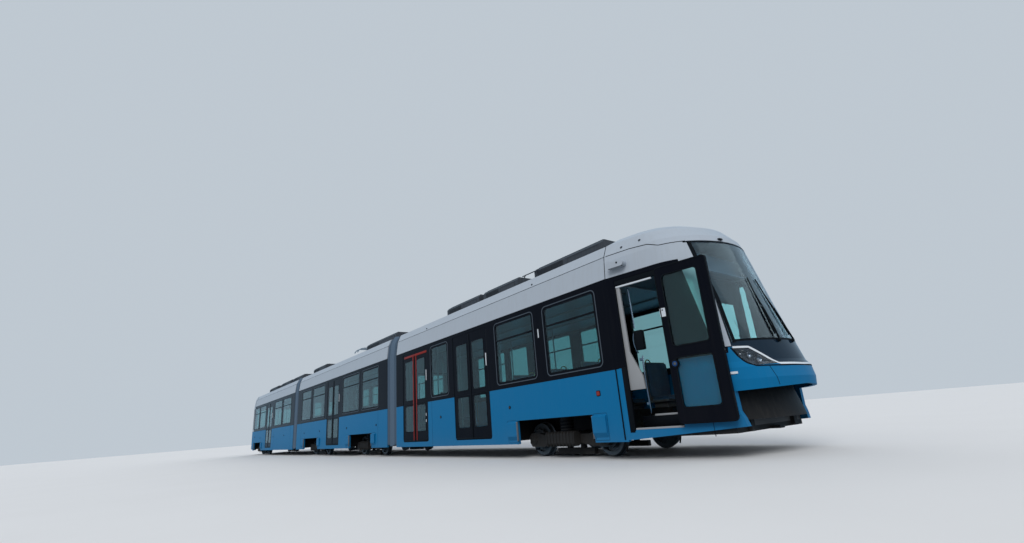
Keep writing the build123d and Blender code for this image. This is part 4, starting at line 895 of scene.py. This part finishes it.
for number, centre in enumerate([12.56, 2.9, -2.9, -14.15], 1):
    steel, rubbers = shapes(2)
    for side in sides:
        outward = (0, side, 0)
        for way in (-1, 1):
            x = centre + way * gear["axleReach"]
            capY = side * gear["capY"]
            addDisc(steel, (x, side * gear["coverY"], axleZ), outward, *gear["cover"])
            addDisc(steel, (x, capY, axleZ), outward, *gear["cap"])
            for along, up in ringSpots(6, gear["boltRing"], 30):
                addDisc(steel, (x + along, capY, axleZ + up), outward, *gear["bolt"])
            for step in range(3):
                addDisc(rubbers, (x, side * gear["springY"], axleZ - 0.155 - step * 0.016), (0, 0, 1),
                        0.05 - 0.004 * step, 0.010, 20)
            addTubes(steel, [[(centre + way * x, side * y, z) for x, y, z in gear["sandPipe"]]], 0.016, True)
        for step in range(gear["fins"]):
            addSpans(steel, around(centre - gear["finStart"] + step * gear["finStep"], 0.006),
                     sideSpan(side, *gear["finY"]), gear["finZ"], 0.005)
        for x in around(centre, 0.07):
            addSpans(steel, around(x, 0.02), sideSpan(side, *gear["bracketY"]), gear["bracketZ"], 0.004)
        for level in range(gear["springLevels"]):
            addTurned(rubbers, gear["springRing"],
                      (centre, side * gear["springY"], gear["springFoot"] + level * gear["springStep"]), steps=28)
    finishAll("bogie_%d" % number, (steel, "_fittings", "under_black"),
              (rubbers, "_rubber_springs", "under_black", "rubber"), prefix="bogie_%d" % number)
for number in range(1, 9):
    low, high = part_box("wheelset_%d" % number)
    x = (low[0] + high[0]) / 2
    bm = bmesh.new()
    for side in sides:
        outward = (0, side, 0)
        for along, up in ringSpots(8, gear["wheelBoltRing"]):
            addDisc(bm, (x + along, side * gear["wheelBoltY"], axleZ + up), outward, *gear["wheelBolt"])
        addTurned(bm, gear["wheelRing"], (x, side * gear["wheelRingY"], axleZ), outward, 36)
    finishPiece(bm, "wheelset_%d_bolts" % number, "wheelset_%d" % number, "wheel_steel")
print("running gear trim made")

# Cab: headlamps behind thin lenses, the light line and gaskets round them, and seams of the nose
cab = {"seamX": 14.28, "taper": 0.145, "body": "front_section"}
rightCab, leftCab = [wallPlace(side, cab["seamX"], cab["taper"]) for side in sides]
noseSurface = surfaceOf("nose_panel", "headlamps", "windscreen_mask", "windscreen")
shellSurface = surfaceOf("nose_panel", "cab_lower_sides", "cab_sides", "cab_fascia", "cab_dome", "windscreen",
                         "windscreen_mask")
noseLines = {
    "light": [(0.925, 1.440), (0.765, 1.429), (0.49, 1.177), (0, 1.167)],
    "gasket": [(0.985, 1.450), (0.938, 1.430), (0.912, 1.318), (0.862, 1.206), (0.802, 1.163), (0.49, 1.151),
               (0, 1.147)],
    "seam": [(0.653, 1.150), (0.624, 1.044), (0.593, 0.936), (0.583, 0.895)],
    "lightWidth": 0.028, "gasketWidth": 0.018, "seamWidth": 0.006, "lift": 0.0003,
    "cantRail": [(14.30, 3.270), (14.76, 3.270), (15.09, 3.240), (15.27, 3.167), (15.595, 3.165)],
    "pillar": [(16.02, 1.50), (15.885, 2.19), (15.628, 3.150)],
    "screenTop": [(-0.93, 3.148), (0.93, 3.148)], "screenFoot": [(-0.90, 1.535), (0.90, 1.535)],
    "cornerLight": ((15.985, 1.095), (0.085, 0.032)),
}
headlamp = {"lensThickness": 0.005, "lensFaces": 0.15, "housingFaces": 0.3, "middle": (0.73, 1.31),
            "shrink": (0.012, 0.018), "bowls": [(0.700, 1.262, 0.042), (0.800, 1.325, 0.036)], "bowlDepth": -0.048,
            "dots": [(0.845, 1.385), (0.875, 1.345), (0.885, 1.30)], "dotDepth": -0.035,
            "dot": (0.012, 0.012, 14, 0.010)}


def headlampFaces(wanted):
    bm = bmesh.new()
    bm.from_mesh(nodes["headlamps"].data)
    bmesh.ops.remove_doubles(bm, verts=bm.verts, dist=1e-5)
    bmesh.ops.delete(bm, geom=[face for face in bm.faces if not wanted(face.normal.x)], context="FACES")
    return bm


bm = headlampFaces(lambda x: x >= headlamp["lensFaces"])
bmesh.ops.solidify(bm, geom=bm.faces[:], thickness=headlamp["lensThickness"])
lenses = finishPiece(bm, "headlamp_lenses", cab["body"], "lamp_lens", sharpAngle=25)
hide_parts("headlamps")
housing = headlampFaces(lambda x: x <= headlamp["housingFaces"])
for vert in housing.verts:
    side = 1 if vert.co.y > 0 else -1
    vert.co.y += (side * headlamp["middle"][0] - vert.co.y) * headlamp["shrink"][0]
    vert.co.z += (headlamp["middle"][1] - vert.co.z) * headlamp["shrink"][1]
    vert.co.x -= 0.001
bowls, dots = shapes(2)
for side in sides:
    for y, z, radius in headlamp["bowls"]:
        spot = landed(noseSurface, "front", side * y, z, headlamp["bowlDepth"])
        profile = [(0.0, 0.0), (radius * 0.35, 0.001), (radius * 0.75, 0.012), (radius, 0.030), (radius + 0.003, 0.030),
                   (radius + 0.003, 0.004)]
        addTurned(bowls, profile, spot, (1, side * 0.25, 0.05), 28)
        profile = [(0, 0.003), (radius * 0.22, 0.003), (radius * 0.30, 0.008), (radius * 0.2, 0.016), (0, 0.018)]
        addTurned(dots, profile, spot, (1, side * 0.25, 0.05), 16)
    for y, z in headlamp["dots"]:
        spot = landed(noseSurface, "front", side * y, z, headlamp["dotDepth"])
        addDisc(dots, spot, (1, side * 0.5, 0.05), *headlamp["dot"])
finishAll(cab["body"], (housing, "headlamp_housings", "under_black", "lampHousing"),
          (bowls, "headlamp_bowls", "steel", "darkChrome"),
          (dots, "headlamp_bulbs", "lamp_lens", "bulb"))
lights, dark = shapes(2)
lift = noseLines["lift"]
addRibbon(lights, noseSurface, "front", mirroredPath(noseLines["light"]), noseLines["lightWidth"], 0.004, 0.0005, 90)
addRibbon(dark, noseSurface, "front", mirroredPath(noseLines["gasket"]), noseLines["gasketWidth"], 0.003, lift, 110)
for side in sides:
    aim = sideAim(side)
    addRibbon(dark, noseSurface, "front", [(side * a, b) for a, b in noseLines["seam"]], noseLines["seamWidth"], 0.0015)
    addPatch(lights, shellSurface, aim, *noseLines["cornerLight"], 0.014, 0.25)
    addRibbon(dark, shellSurface, aim, noseLines["cantRail"], 0.012, 0.002, lift, 50)
    addRibbon(dark, shellSurface, aim, noseLines["pillar"], 0.030, 0.0015, lift, 40)
addRibbon(dark, shellSurface, "front", noseLines["screenTop"], 0.022, 0.0015, lift, 40)
addRibbon(dark, shellSurface, "front", noseLines["screenFoot"], 0.030, 0.0015, lift, 40)
finishAll(cab["body"], (lights, "nose_light_line", "lamp_lens", "ledWhite"),
          (dark, "nose_gaskets", "black_gloss", "rubber"))
print("nose made")

# Wipers parked upright beside the middle of the windscreen
wiper = {"foot": (0.16, 1.505), "elbow": (0.13, 2.02), "stand": 0.03, "rightShift": -0.07, "blade": (0.175, 1.60),
         "bladeRun": (-0.09, 0.92), "bladeStand": 0.012, "armRadius": 0.010, "bladeRadius": 0.009, "linkRadius": 0.006,
         "hub": (0.028, 0.05, 20, 0.022, 0.004)}
bm = bmesh.new()
for side in sides:
    shift = wiper["rightShift"] if side < 0 else 0.0
    foot, elbow = [landed(shellSurface, "front", side * y + shift, z, wiper["stand"])
                   for y, z in (wiper["foot"], wiper["elbow"])]
    (y, z), (runY, runZ) = wiper["blade"], wiper["bladeRun"]
    blade = [landed(shellSurface, "front", side * (y + runY * t) + shift, z + runZ * t, wiper["bladeStand"])
             for t in (0, 0.2, 0.4, 0.6, 0.8, 1)]
    addTubes(bm, [[foot, (foot + elbow) / 2 + Vector((0.012, 0, 0)), elbow]], wiper["armRadius"], True)
    addTubes(bm, [[foot + Vector((0, side * 0.035, 0.01)), elbow + Vector((0, side * 0.02, -0.02))]],
             wiper["linkRadius"])
    addTubes(bm, [blade], wiper["bladeRadius"])
    addTubes(bm, [[blade[1], elbow, blade[4]]], wiper["linkRadius"])
    addDisc(bm, foot - Vector((0.015, 0, 0)), (1, 0, 0.35), *wiper["hub"])
finishPiece(bm, "windscreen_wipers", cab["body"], "black_gloss", "rubber")

# Front doorway: black frame, header with its light, pale jamb cover, rails, a step and a small device
doorway = {
    "span": (0.14, 0.94), "frame": (0.055, 0.14), "seam": (-0.066, -0.046), "noseSeam": (1.347, 1.353),
    "headerZ": (2.70, 2.79), "lightZ": (2.668, 2.697), "sillZ": (0.436, 0.462), "stepZ": (0.462, 0.62),
    "jamb": [(0.145, 2.665), (0.215, 2.665), (0.232, 1.60), (0.395, 1.22), (0.412, 1.02), (0.145, 1.02)],
    "device": ((0.30, 1.62, -0.17), (0.46, 1.93, -0.09)), "railRadius": 0.013,
    "rails": [[(0.29, 2.66, -0.16), (0.30, 1.98, -0.16)],
              [(0.295, 1.93, -0.15), (0.268, 1.86, -0.13), (0.272, 1.66, -0.13), (0.31, 1.58, -0.15)],
              [(0.405, 1.52, -0.10), (0.405, 1.45, -0.07), (0.415, 0.80, -0.07), (0.425, 0.68, -0.075),
               (0.375, 0.64, -0.12)]],
    "railFeet": [(0.385, 1.47), (0.395, 0.80)],
}
trim, pale, lit, rails = shapes(4)
(s0, s1), stepTop = doorway["span"], doorway["stepZ"][1]
for bm, spanX, spanZ, depth, bevel in (
    (trim, doorway["frame"], (0.40, body["belt"] + 0.01), (-0.02, 0.004), 0.002),
    (trim, doorway["seam"], (0.30, body["belt"]), (-0.02, 0.002), 0),
    (trim, (s0, s1), doorway["headerZ"], (-0.05, -0.004), 0.004),
    (trim, doorway["noseSeam"], (0.30, 0.50), (-0.01, 0.0015), 0),
    (trim, (s0, s0 + 0.012), (0.42, 2.70), (-0.05, 0.006), 0.004),
    (trim, (s0 + 0.01, s1 - 0.01), doorway["stepZ"], (-0.62, -0.24), 0.01),
    (lit, (s0 + 0.005, s0 + 0.66), doorway["lightZ"], (-0.045, -0.012), 0.005),
    (pale, (s0 + 0.02, s1 - 0.01), doorway["sillZ"], (-0.06, 0.003), 0.004),
    (pale, (s0 + 0.24, s1 - 0.01), (stepTop - 0.004, stepTop + 0.024), (-0.27, -0.235), 0.004),
):
    addSpans(bm, spanX, spanZ, depth, bevel, rightCab)
part = bmesh.new()
part.faces.new([part.verts.new((s, z, 0)) for s, z in doorway["jamb"]])
raiseFaces(part, -0.06, 0.04)
bevelled(part, part.edges[:], 0.006)
placed(pale, part, rightCab)
addBox(trim, *doorway["device"], 0.02, rightCab)
addTubes(rails, [[rightCab @ Vector(spot) for spot in path] for path in doorway["rails"]], doorway["railRadius"], True)
for s, z in doorway["railFeet"]:
    addSpans(rails, (s - 0.035, s + 0.02), around(z, 0.022), (-0.13, -0.075), 0.008, rightCab)
finishAll(cab["body"], (trim, "doorway_frame", "black_gloss", "rubber"),
          (pale, "doorway_jamb_cover", "white_paint", "liner"),
          (lit, "doorway_light", "lamp_lens", "ledWhite"),
          (rails, "doorway_rails", "steel", "darkChrome"))

# Leaf: edge rubber, glass gaskets, round button with a blue ring, and a blank label
leaf = {"span": (0.91, 1.73), "z": (0.48, 2.78), "out": 0.085, "glass": (1.015, 1.565),
        "glassZ": [(0.70, 1.395), (1.56, 2.64)], "button": (1.0, 1.312), "label": (0.948, 2.08),
        "ring": [(0.024, 0.006), (0.033, 0.006), (0.035, 0.011), (0.026, 0.013), (0.024, 0.006)],
        "boss": (0.066, 0.016, 32, 0.062, 0.003), "cap": (0.021, 0.010, 28, 0.018, 0.002), "dot": (0.012, 0.003, 18)}
dark, ring, label, button = shapes(4)
out = leaf["out"]
addRing(dark, rightCab, leaf["span"], leaf["z"], 0.06, 0.016, out, 0.004)
for spanZ in leaf["glassZ"]:
    addRing(dark, rightCab, grown(leaf["glass"], 0.01), grown(spanZ, 0.01), 0.065, 0.018, out - 0.003, 0.007)
s, z = leaf["button"]
outward = rightCab.to_3x3() @ Vector((0, 0, 1))
centre = rightCab @ Vector((s, z, out + 0.004))
addDisc(dark, centre, outward, *leaf["boss"])
addTurned(ring, leaf["ring"], centre, outward, 32)
addDisc(button, centre + outward * 0.008, outward, *leaf["cap"])
s, z = leaf["label"]
addPlate(label, rightCab, around(s, 0.045), around(z, 0.065), 0.008, out, 0.002)
addDisc(dark, rightCab @ Vector((s, z + 0.036, out + 0.003)), outward, *leaf["dot"])
finishAll(cab["body"], (dark, "_rubbers", "black_gloss", "rubber"),
          (ring, "_button_ring", "lamp_lens", "ringBlue"),
          (button, "_button", "steel", "seatShell"),
          (label, "_blank_label", "white_paint", "labelWhite"), prefix="front_leaf")

# Camera pod lenses, roof plugs, the left cab window's frame and a sensor over the windscreen
pod = {"eye": (0.31, 3.052, 0.108), "lens": (0.020, 0.012, 24, 0.016, 0.003),
       "slot": ((0.13, 0.39), (2.985, 2.992), (0.06, 0.104)),
       "plugs": [(14.598, 3.352), (14.936, 3.372)], "plugSize": (0.042, 0.042),
       "window": ((0.275, 1.175), (1.445, 2.775)), "pane": ((0.324, 1.126), (1.494, 2.726)),
       "sensor": ((-0.31, 3.20), (0.07, 0.035))}
eyes, plugs = shapes(2)
for side, place in ((-1, rightCab), (1, leftCab)):
    outward = place.to_3x3() @ Vector((0, 0, 1))
    addDisc(eyes, place @ Vector(pod["eye"]), outward, *pod["lens"])
    addSpans(eyes, *pod["slot"], 0.002, place)
    for spot in pod["plugs"]:
        addPatch(plugs, shellSurface, sideAim(side), spot, pod["plugSize"], 0.006, 1.0)
addRing(eyes, leftCab, *pod["window"], 0.10, 0.012, 0.0, 0.004)
addRing(eyes, leftCab, *pod["pane"], 0.062, 0.014, -0.006, 0.007)
addPatch(eyes, shellSurface, "front", *pod["sensor"], 0.03, 0.3)
finishAll(cab["body"], (eyes, "camera_lenses", "black_gloss", "rubber"),
          (plugs, "dome_plugs", "roof_grey"))
print("cab outside made")

# A stuffed pad: crowned outward along one axis, its sides pulled in, with seams sewn across it
def addPad(bm, low, high, outAxis, crown=0.22, pull=0.05, seams=(0.0,), seamDepth=0.006, lean=0.0):
    part = bmesh.new()
    bmesh.ops.create_cube(part, size=2.0)
    bmesh.ops.subdivide_edges(part, edges=part.edges[:], cuts=11, use_grid_fill=True)
    half = [(b - a) / 2 for a, b in zip(low, high)]
    middle = [(b + a) / 2 for a, b in zip(low, high)]
    flat = [axis for axis in range(3) if axis != outAxis]
    for vert in part.verts:
        u = list(vert.co)
        first, second = u[flat[0]], u[flat[1]]
        soft = (1 - first ** 4) * (1 - second ** 4)
        spot = [0.0, 0.0, 0.0]
        spot[outAxis] = half[outAxis] * u[outAxis] * (1 - crown + crown * soft)
        waist = 1 - pull * (1 - u[outAxis] ** 2)
        spot[flat[0]] = half[flat[0]] * first * waist * math.sqrt(1 - 0.10 * second ** 4)
        spot[flat[1]] = half[flat[1]] * second * waist * math.sqrt(1 - 0.10 * first ** 4)
        for seam in seams:
            if abs(u[1] - seam) < 0.02 and u[outAxis] > 0.9:
                spot[outAxis] -= seamDepth
        spot[0] -= lean * (u[2] + 1) * half[2]
        vert.co = [a + b for a, b in zip(spot, middle)]
    placed(bm, part)


# Saloon: padded seats on moulded shells with handles, poles, and lights along the ceiling
saloon = {"cushionDrop": 0.75, "shellThick": 0.032, "seatHandle": [(0.016, 0.05, -0.02), (0.012, 0.05, 0.05),
          (0.012, 0.19, 0.05), (0.016, 0.19, -0.02)], "handleRadius": 0.011, "poleRadius": 0.016, "poleZ": (0.39, 2.79),
          "poleY": (-1.05, 0.60), "midPoleY": -0.42, "poleGap": 0.10, "lightY": 0.47, "lightHalf": 0.04,
          "lightZ": (2.772, 2.789), "lightInset": 0.30}
for section, facts in sections.items():
    pads, shells, handles, poles, lights = shapes(5)
    for low, high in solidBoxes(section + "_seats"):
        cushion, back, thick = high.z - saloon["cushionDrop"], low.x, saloon["shellThick"]
        spanY = (low.y, high.y)
        y0, y1 = grown(spanY, -0.012)
        addPad(pads, (back + 0.055, y0, cushion + 0.002), (high.x - 0.002, y1, cushion + 0.086), 2)
        addPad(pads, (back + 0.024, y0, cushion + 0.075), (back + 0.080, y1, high.z - 0.022), 0)
        addSpans(shells, (back, back + thick), spanY, (cushion - 0.03, high.z), 0.014)
        addSpans(shells, (back, high.x - 0.02), spanY, (cushion - thick, cushion + 0.012), 0.014)
        addSpans(shells, (back + 0.06, high.x - 0.07), (low.y + 0.06, high.y - 0.02), (low.z, cushion - 0.02), 0.012)
        aisle = low.y if low.y > 0 else high.y
        outward = 1 if aisle > 0 else -1
        path = [(back + along, aisle + outward * across, high.z + up) for along, across, up in saloon["seatHandle"]]
        addTubes(handles, [path], saloon["handleRadius"], True)
    right, left = saloon["poleY"]
    spots = []
    for door in facts["doors"]:
        a, b = grown(door, saloon["poleGap"])
        spots += [(a, right), (b, right), (sum(door) / 2, saloon["midPoleY"]), (a, left), (b, left)]
    addTubes(poles, [[(x, y, z) for z in saloon["poleZ"]] for x, y in spots], saloon["poleRadius"])
    for side in sides:
        addSpans(lights, grown(facts["span"], -saloon["lightInset"]),
                 around(side * saloon["lightY"], saloon["lightHalf"]), saloon["lightZ"], 0.006)
    cushions = finishPiece(pads, section + "_seat_cushions", facts["body"], "seat_fabric", sharpAngle=60)
    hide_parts(section + "_seats")
    finishAll(facts["body"], (shells, "_seat_shells", "cab_plastic", "seatShell"),
              (handles, "_seat_handles", "cab_plastic", "yellow"),
              (poles, "_poles", "steel"),
              (lights, "_ceiling_lights", "lamp_lens", "ceilingLight"), prefix=section)
print("saloon made")

# Driver's place: sprung seat, screens, lever, ceiling lining with a blank destination display, and sun blind
driver = {
    "x": 15.455, "floor": 0.39, "half": 0.24, "armY": 0.265,
    "foot": [(0, 0.0), (0.15, 0.0), (0.15, 0.045), (0.09, 0.06), (0.047, 0.075), (0.047, 0.36), (0, 0.36)],
    "fold": [(0.047, 0), (0.072, 0.012), (0.072, 0.018), (0.047, 0.030)], "folds": 6, "foldZ": (0.50, 0.035),
    "console": (15.92, 0, 1.252), "slope": -19, "panels": [(-0.42, 0.16), (0.0, 0.20), (0.42, 0.16)],
    "lever": (15.76, -0.30), "knob": [(0, 0), (0.024, 0.006), (0.026, 0.03), (0.012, 0.045), (0, 0.047)],
    "display": ((15.30, -0.62, 2.845), (15.40, 0.62, 3.075)),
    "lining": [((14.30, -1.06, 2.80), (15.44, 1.06, 2.83), 0.01), ((15.36, -0.98, 2.83), (15.44, 0.98, 3.10), 0.015),
               ((15.55, -0.85, 2.745), (15.58, 0.85, 2.775), 0.008)],
}
pads, frameParts, dark = shapes(3)
x, half = driver["x"], driver["half"]
seams = (-0.5, 0.5)
addPad(pads, (x - 0.11, -half, 0.795), (x + 0.23, half, 0.92), 2, 0.25, 0.05, seams)
addPad(pads, (x - 0.115, -half + 0.02, 0.90), (x - 0.035, half - 0.02, 1.47), 0, 0.25, 0.05, seams, lean=0.03)
addPad(pads, (x - 0.130, -0.13, 1.48), (x - 0.065, 0.13, 1.64), 0, 0.25, 0.06, (), lean=0.02)
for side in sides:
    near, far = around(side * driver["armY"], 0.03)
    addPad(pads, (x - 0.08, near, 1.055), (x + 0.16, far, 1.095), 2, 0.3, 0.05, ())
addTurned(frameParts, driver["foot"], (x, 0, driver["floor"]), steps=32)
for level in range(driver["folds"]):
    addTurned(frameParts, driver["fold"], (x, 0, driver["foldZ"][0] + level * driver["foldZ"][1]), steps=28)
addBox(frameParts, (x - 0.12, -0.20, 0.755), (x + 0.20, 0.20, 0.80), 0.015)
addBox(frameParts, (x - 0.135, -0.19, 0.79), (x - 0.110, 0.19, 1.44), 0.01)
seatPads = finishPiece(pads, "driver_seat_cushions", cab["body"], "seat_fabric", "darkCloth", sharpAngle=60)
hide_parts("driver_seat")
finishPiece(frameParts, "driver_seat_frame", cab["body"], "cab_plastic", "seatShell")
slope = Matrix.Translation(driver["console"]) @ Matrix.Rotation(math.radians(driver["slope"]), 4, "Y")
for y, width in driver["panels"]:
    addSpans(dark, (-0.09, 0.11), around(y, width), (0.0, 0.028), 0.01, slope)
addBox(dark, (0.115, -0.55, 0.0), (0.15, 0.55, 0.055), 0.012, slope)
addBox(dark, *driver["display"], 0.02)
x, y = driver["lever"]
addTubes(dark, [[(x + 0.02, y, 1.20), (x, y, 1.31)]], 0.012)
addTurned(dark, driver["knob"], (x, y, 1.30), steps=20)
finishPiece(dark, "driver_screens", cab["body"], "cab_plastic", "screenDark")
bm = bmesh.new()
for low, high, bevel in driver["lining"]:
    addBox(bm, low, high, bevel)
finishPiece(bm, "cab_ceiling_lining", cab["body"], "cab_plastic", "lining")
print("driver's place made")

# Tail: lamps, screen rubber, a wiper and seams
tail = {"body": "rear_section", "lampZ": 1.06, "lampY": 0.93, "lampPlate": (0.33, 0.16), "lamp": (0.12, 0.12),
        "lampStep": 0.075, "highLamp": (0.62, 2.96), "cornerLamp": (-16.13, 1.56), "seamHalf": 1.15, "seamZ": 0.62,
        "wiper": [(0.0, 1.98), (0.04, 1.45)], "sideSeams": [(-15.55, -16.35, "belt"), (-15.55, -16.2, "bandTop")]}
tailSurface = surfaceOf("rear_end_panel", "rear_end_frame", "rear_end_roof", "rear_screen")
reds, rims, ambers = shapes(3)
low, high = [Vector(corner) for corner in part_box("rear_screen")]
y, z0, z1 = high.y - 0.004, low.z, high.z
half, seamZ = tail["seamHalf"], tail["seamZ"]
for path, width, thickness, lift, steps in (
    ([(-y, z0), (y, z0)], 0.030, 0.005, 0.0, 30), ([(-y, z1), (y, z1)], 0.030, 0.005, 0.0, 30),
    ([(-y, z0), (-y, z1)], 0.030, 0.005, 0.0, 30), ([(y, z0), (y, z1)], 0.030, 0.005, 0.0, 30),
    ([(-half, body["belt"]), (half, body["belt"])], 0.010, 0.002, 0.0, 40),
    ([(-half, seamZ), (half, seamZ)], 0.008, 0.0015, 0.0, 40), (tail["wiper"], 0.020, 0.02, 0.02, 10),
):
    addRibbon(rims, tailSurface, "back", path, width, thickness, lift, steps)
for side in sides:
    aim, y, z = sideAim(side), side * tail["lampY"], tail["lampZ"]
    addPatch(rims, tailSurface, "back", (y, z), tail["lampPlate"], 0.006, 0.25)
    addPatch(reds, tailSurface, "back", (y + side * tail["lampStep"], z), tail["lamp"], 0.014, 1.0)
    addPatch(ambers, tailSurface, "back", (y - side * tail["lampStep"], z), tail["lamp"], 0.014, 1.0)
    addPatch(reds, tailSurface, "back", (side * tail["highLamp"][0], tail["highLamp"][1]), (0.30, 0.05), 0.010, 0.2)
    addPatch(ambers, tailSurface, aim, tail["cornerLamp"], (0.05, 0.28), 0.010, 0.2)
    for x0, x1, level in tail["sideSeams"]:
        addRibbon(rims, tailSurface, aim, [(x0, body[level]), (x1, body[level])], 0.010, 0.002, 0.0, 20)
finishAll(tail["body"], (reds, "tail_lamps", "lamp_lens", "redLens"),
          (ambers, "tail_indicators", "lamp_lens", "amberLens"),
          (rims, "tail_gaskets", "black_gloss", "rubber"))
print("tail made")

# Floor, light, background and camera
stageFloor = {"half": 260.0, "z": -0.002}
bm = bmesh.new()
bmesh.ops.create_grid(bm, x_segments=2, y_segments=2, size=stageFloor["half"])
bmesh.ops.translate(bm, vec=(0, 0, stageFloor["z"]), verts=bm.verts)
floorMesh = bpy.data.meshes.new("floor")
bm.to_mesh(floorMesh)
bm.free()
floor = bpy.data.objects.new("floor", floorMesh)
scene.collection.objects.link(floor)
floorMaterial, tree, principled = newMaterial("studioFloor")
place = objectPlace(tree)
tone = mixColour(tree, times(tree, noise(tree, place, 0.6, 3), 0.06), colours["floorPale"],
                 colours["dust"])
# Painted shade and painted reflection: the camera sees the pale floor, bounced light sees a darker floor so the
# undersides are shaded, and gloss sees a bluish floor in place of its own colour
rays = tree.nodes.new("ShaderNodeLightPath")
indirectly = mixColour(tree, rays.outputs["Is Glossy Ray"], colours["floorBouncePaintedShade"], colours["floorPaintedReflection"])
tree.links.new(mixColour(tree, rays.outputs["Is Camera Ray"], indirectly, tone), principled.inputs["Base Color"])
setInputs(principled, {"Roughness": 0.75, "Specular IOR Level": 0.2})
floorMesh.materials.append(floorMaterial)

world = bpy.data.worlds.new("studio")
scene.world = world
world.use_nodes = True
tree = world.node_tree
path = tree.nodes.new("ShaderNodeLightPath")
seen = mathNode(tree, "MAXIMUM", path.outputs["Is Camera Ray"], path.outputs["Is Transmission Ray"])
studio = {"backdrop": (0.52, 0.58, 0.64), "ambient": (0.50, 0.53, 0.57), "reflected": (0.30, 0.42, 0.54)}
background = tree.nodes["Background"]
around = mixColour(tree, path.outputs["Is Glossy Ray"], studio["ambient"], studio["reflected"])
tree.links.new(mixColour(tree, seen, around, studio["backdrop"]), background.inputs["Color"])
background.inputs["Strength"].default_value = 1.0

# Sun lamps with a wide angle act as large soft boxes: (from which way, strength, angle in degrees).
# Gloss shows the world and the floor, and not their pale discs.
lamps = {
    "keyLamp": ((0.50, -0.80, 0.75), 1.5, 35),
    "fillLamp": ((0.75, 0.55, 0.5), 0.5, 50),
    "backLamp": ((-0.8, 0.35, 0.6), 0.4, 50),
}
for name, (direction, strength, angle) in lamps.items():
    lamp = bpy.data.lights.new(name, "SUN")
    lamp.energy = strength
    lamp.angle = math.radians(angle)
    holder = bpy.data.objects.new(name, lamp)
    holder.rotation_euler = Vector(direction).to_track_quat("Z", "Y").to_euler()
    holder.visible_glossy = False
    scene.collection.objects.link(holder)

eye = {"place": (19.387, -7.372, 0.694), "forward": (-0.7474, 0.5925, 0.3002), "right": (0.600, 0.7961, -0.0775),
       "lens": 16.77}
cameraData = bpy.data.cameras.new("camera")
cameraData.lens = eye["lens"]
cameraData.sensor_width = 36
cameraData.clip_end = 1000
camera = bpy.data.objects.new("camera", cameraData)
forward = Vector(eye["forward"]).normalized()
right = Vector(eye["right"])
right = (right - forward * right.dot(forward)).normalized()
up = right.cross(forward)
camera.matrix_world = Matrix.Translation(eye["place"]) @ Matrix((right, up, -forward)).transposed().to_4x4()
scene.collection.objects.link(camera)
scene.camera = camera
scene.view_settings.view_transform = "Standard"
print("stage, light and camera set")
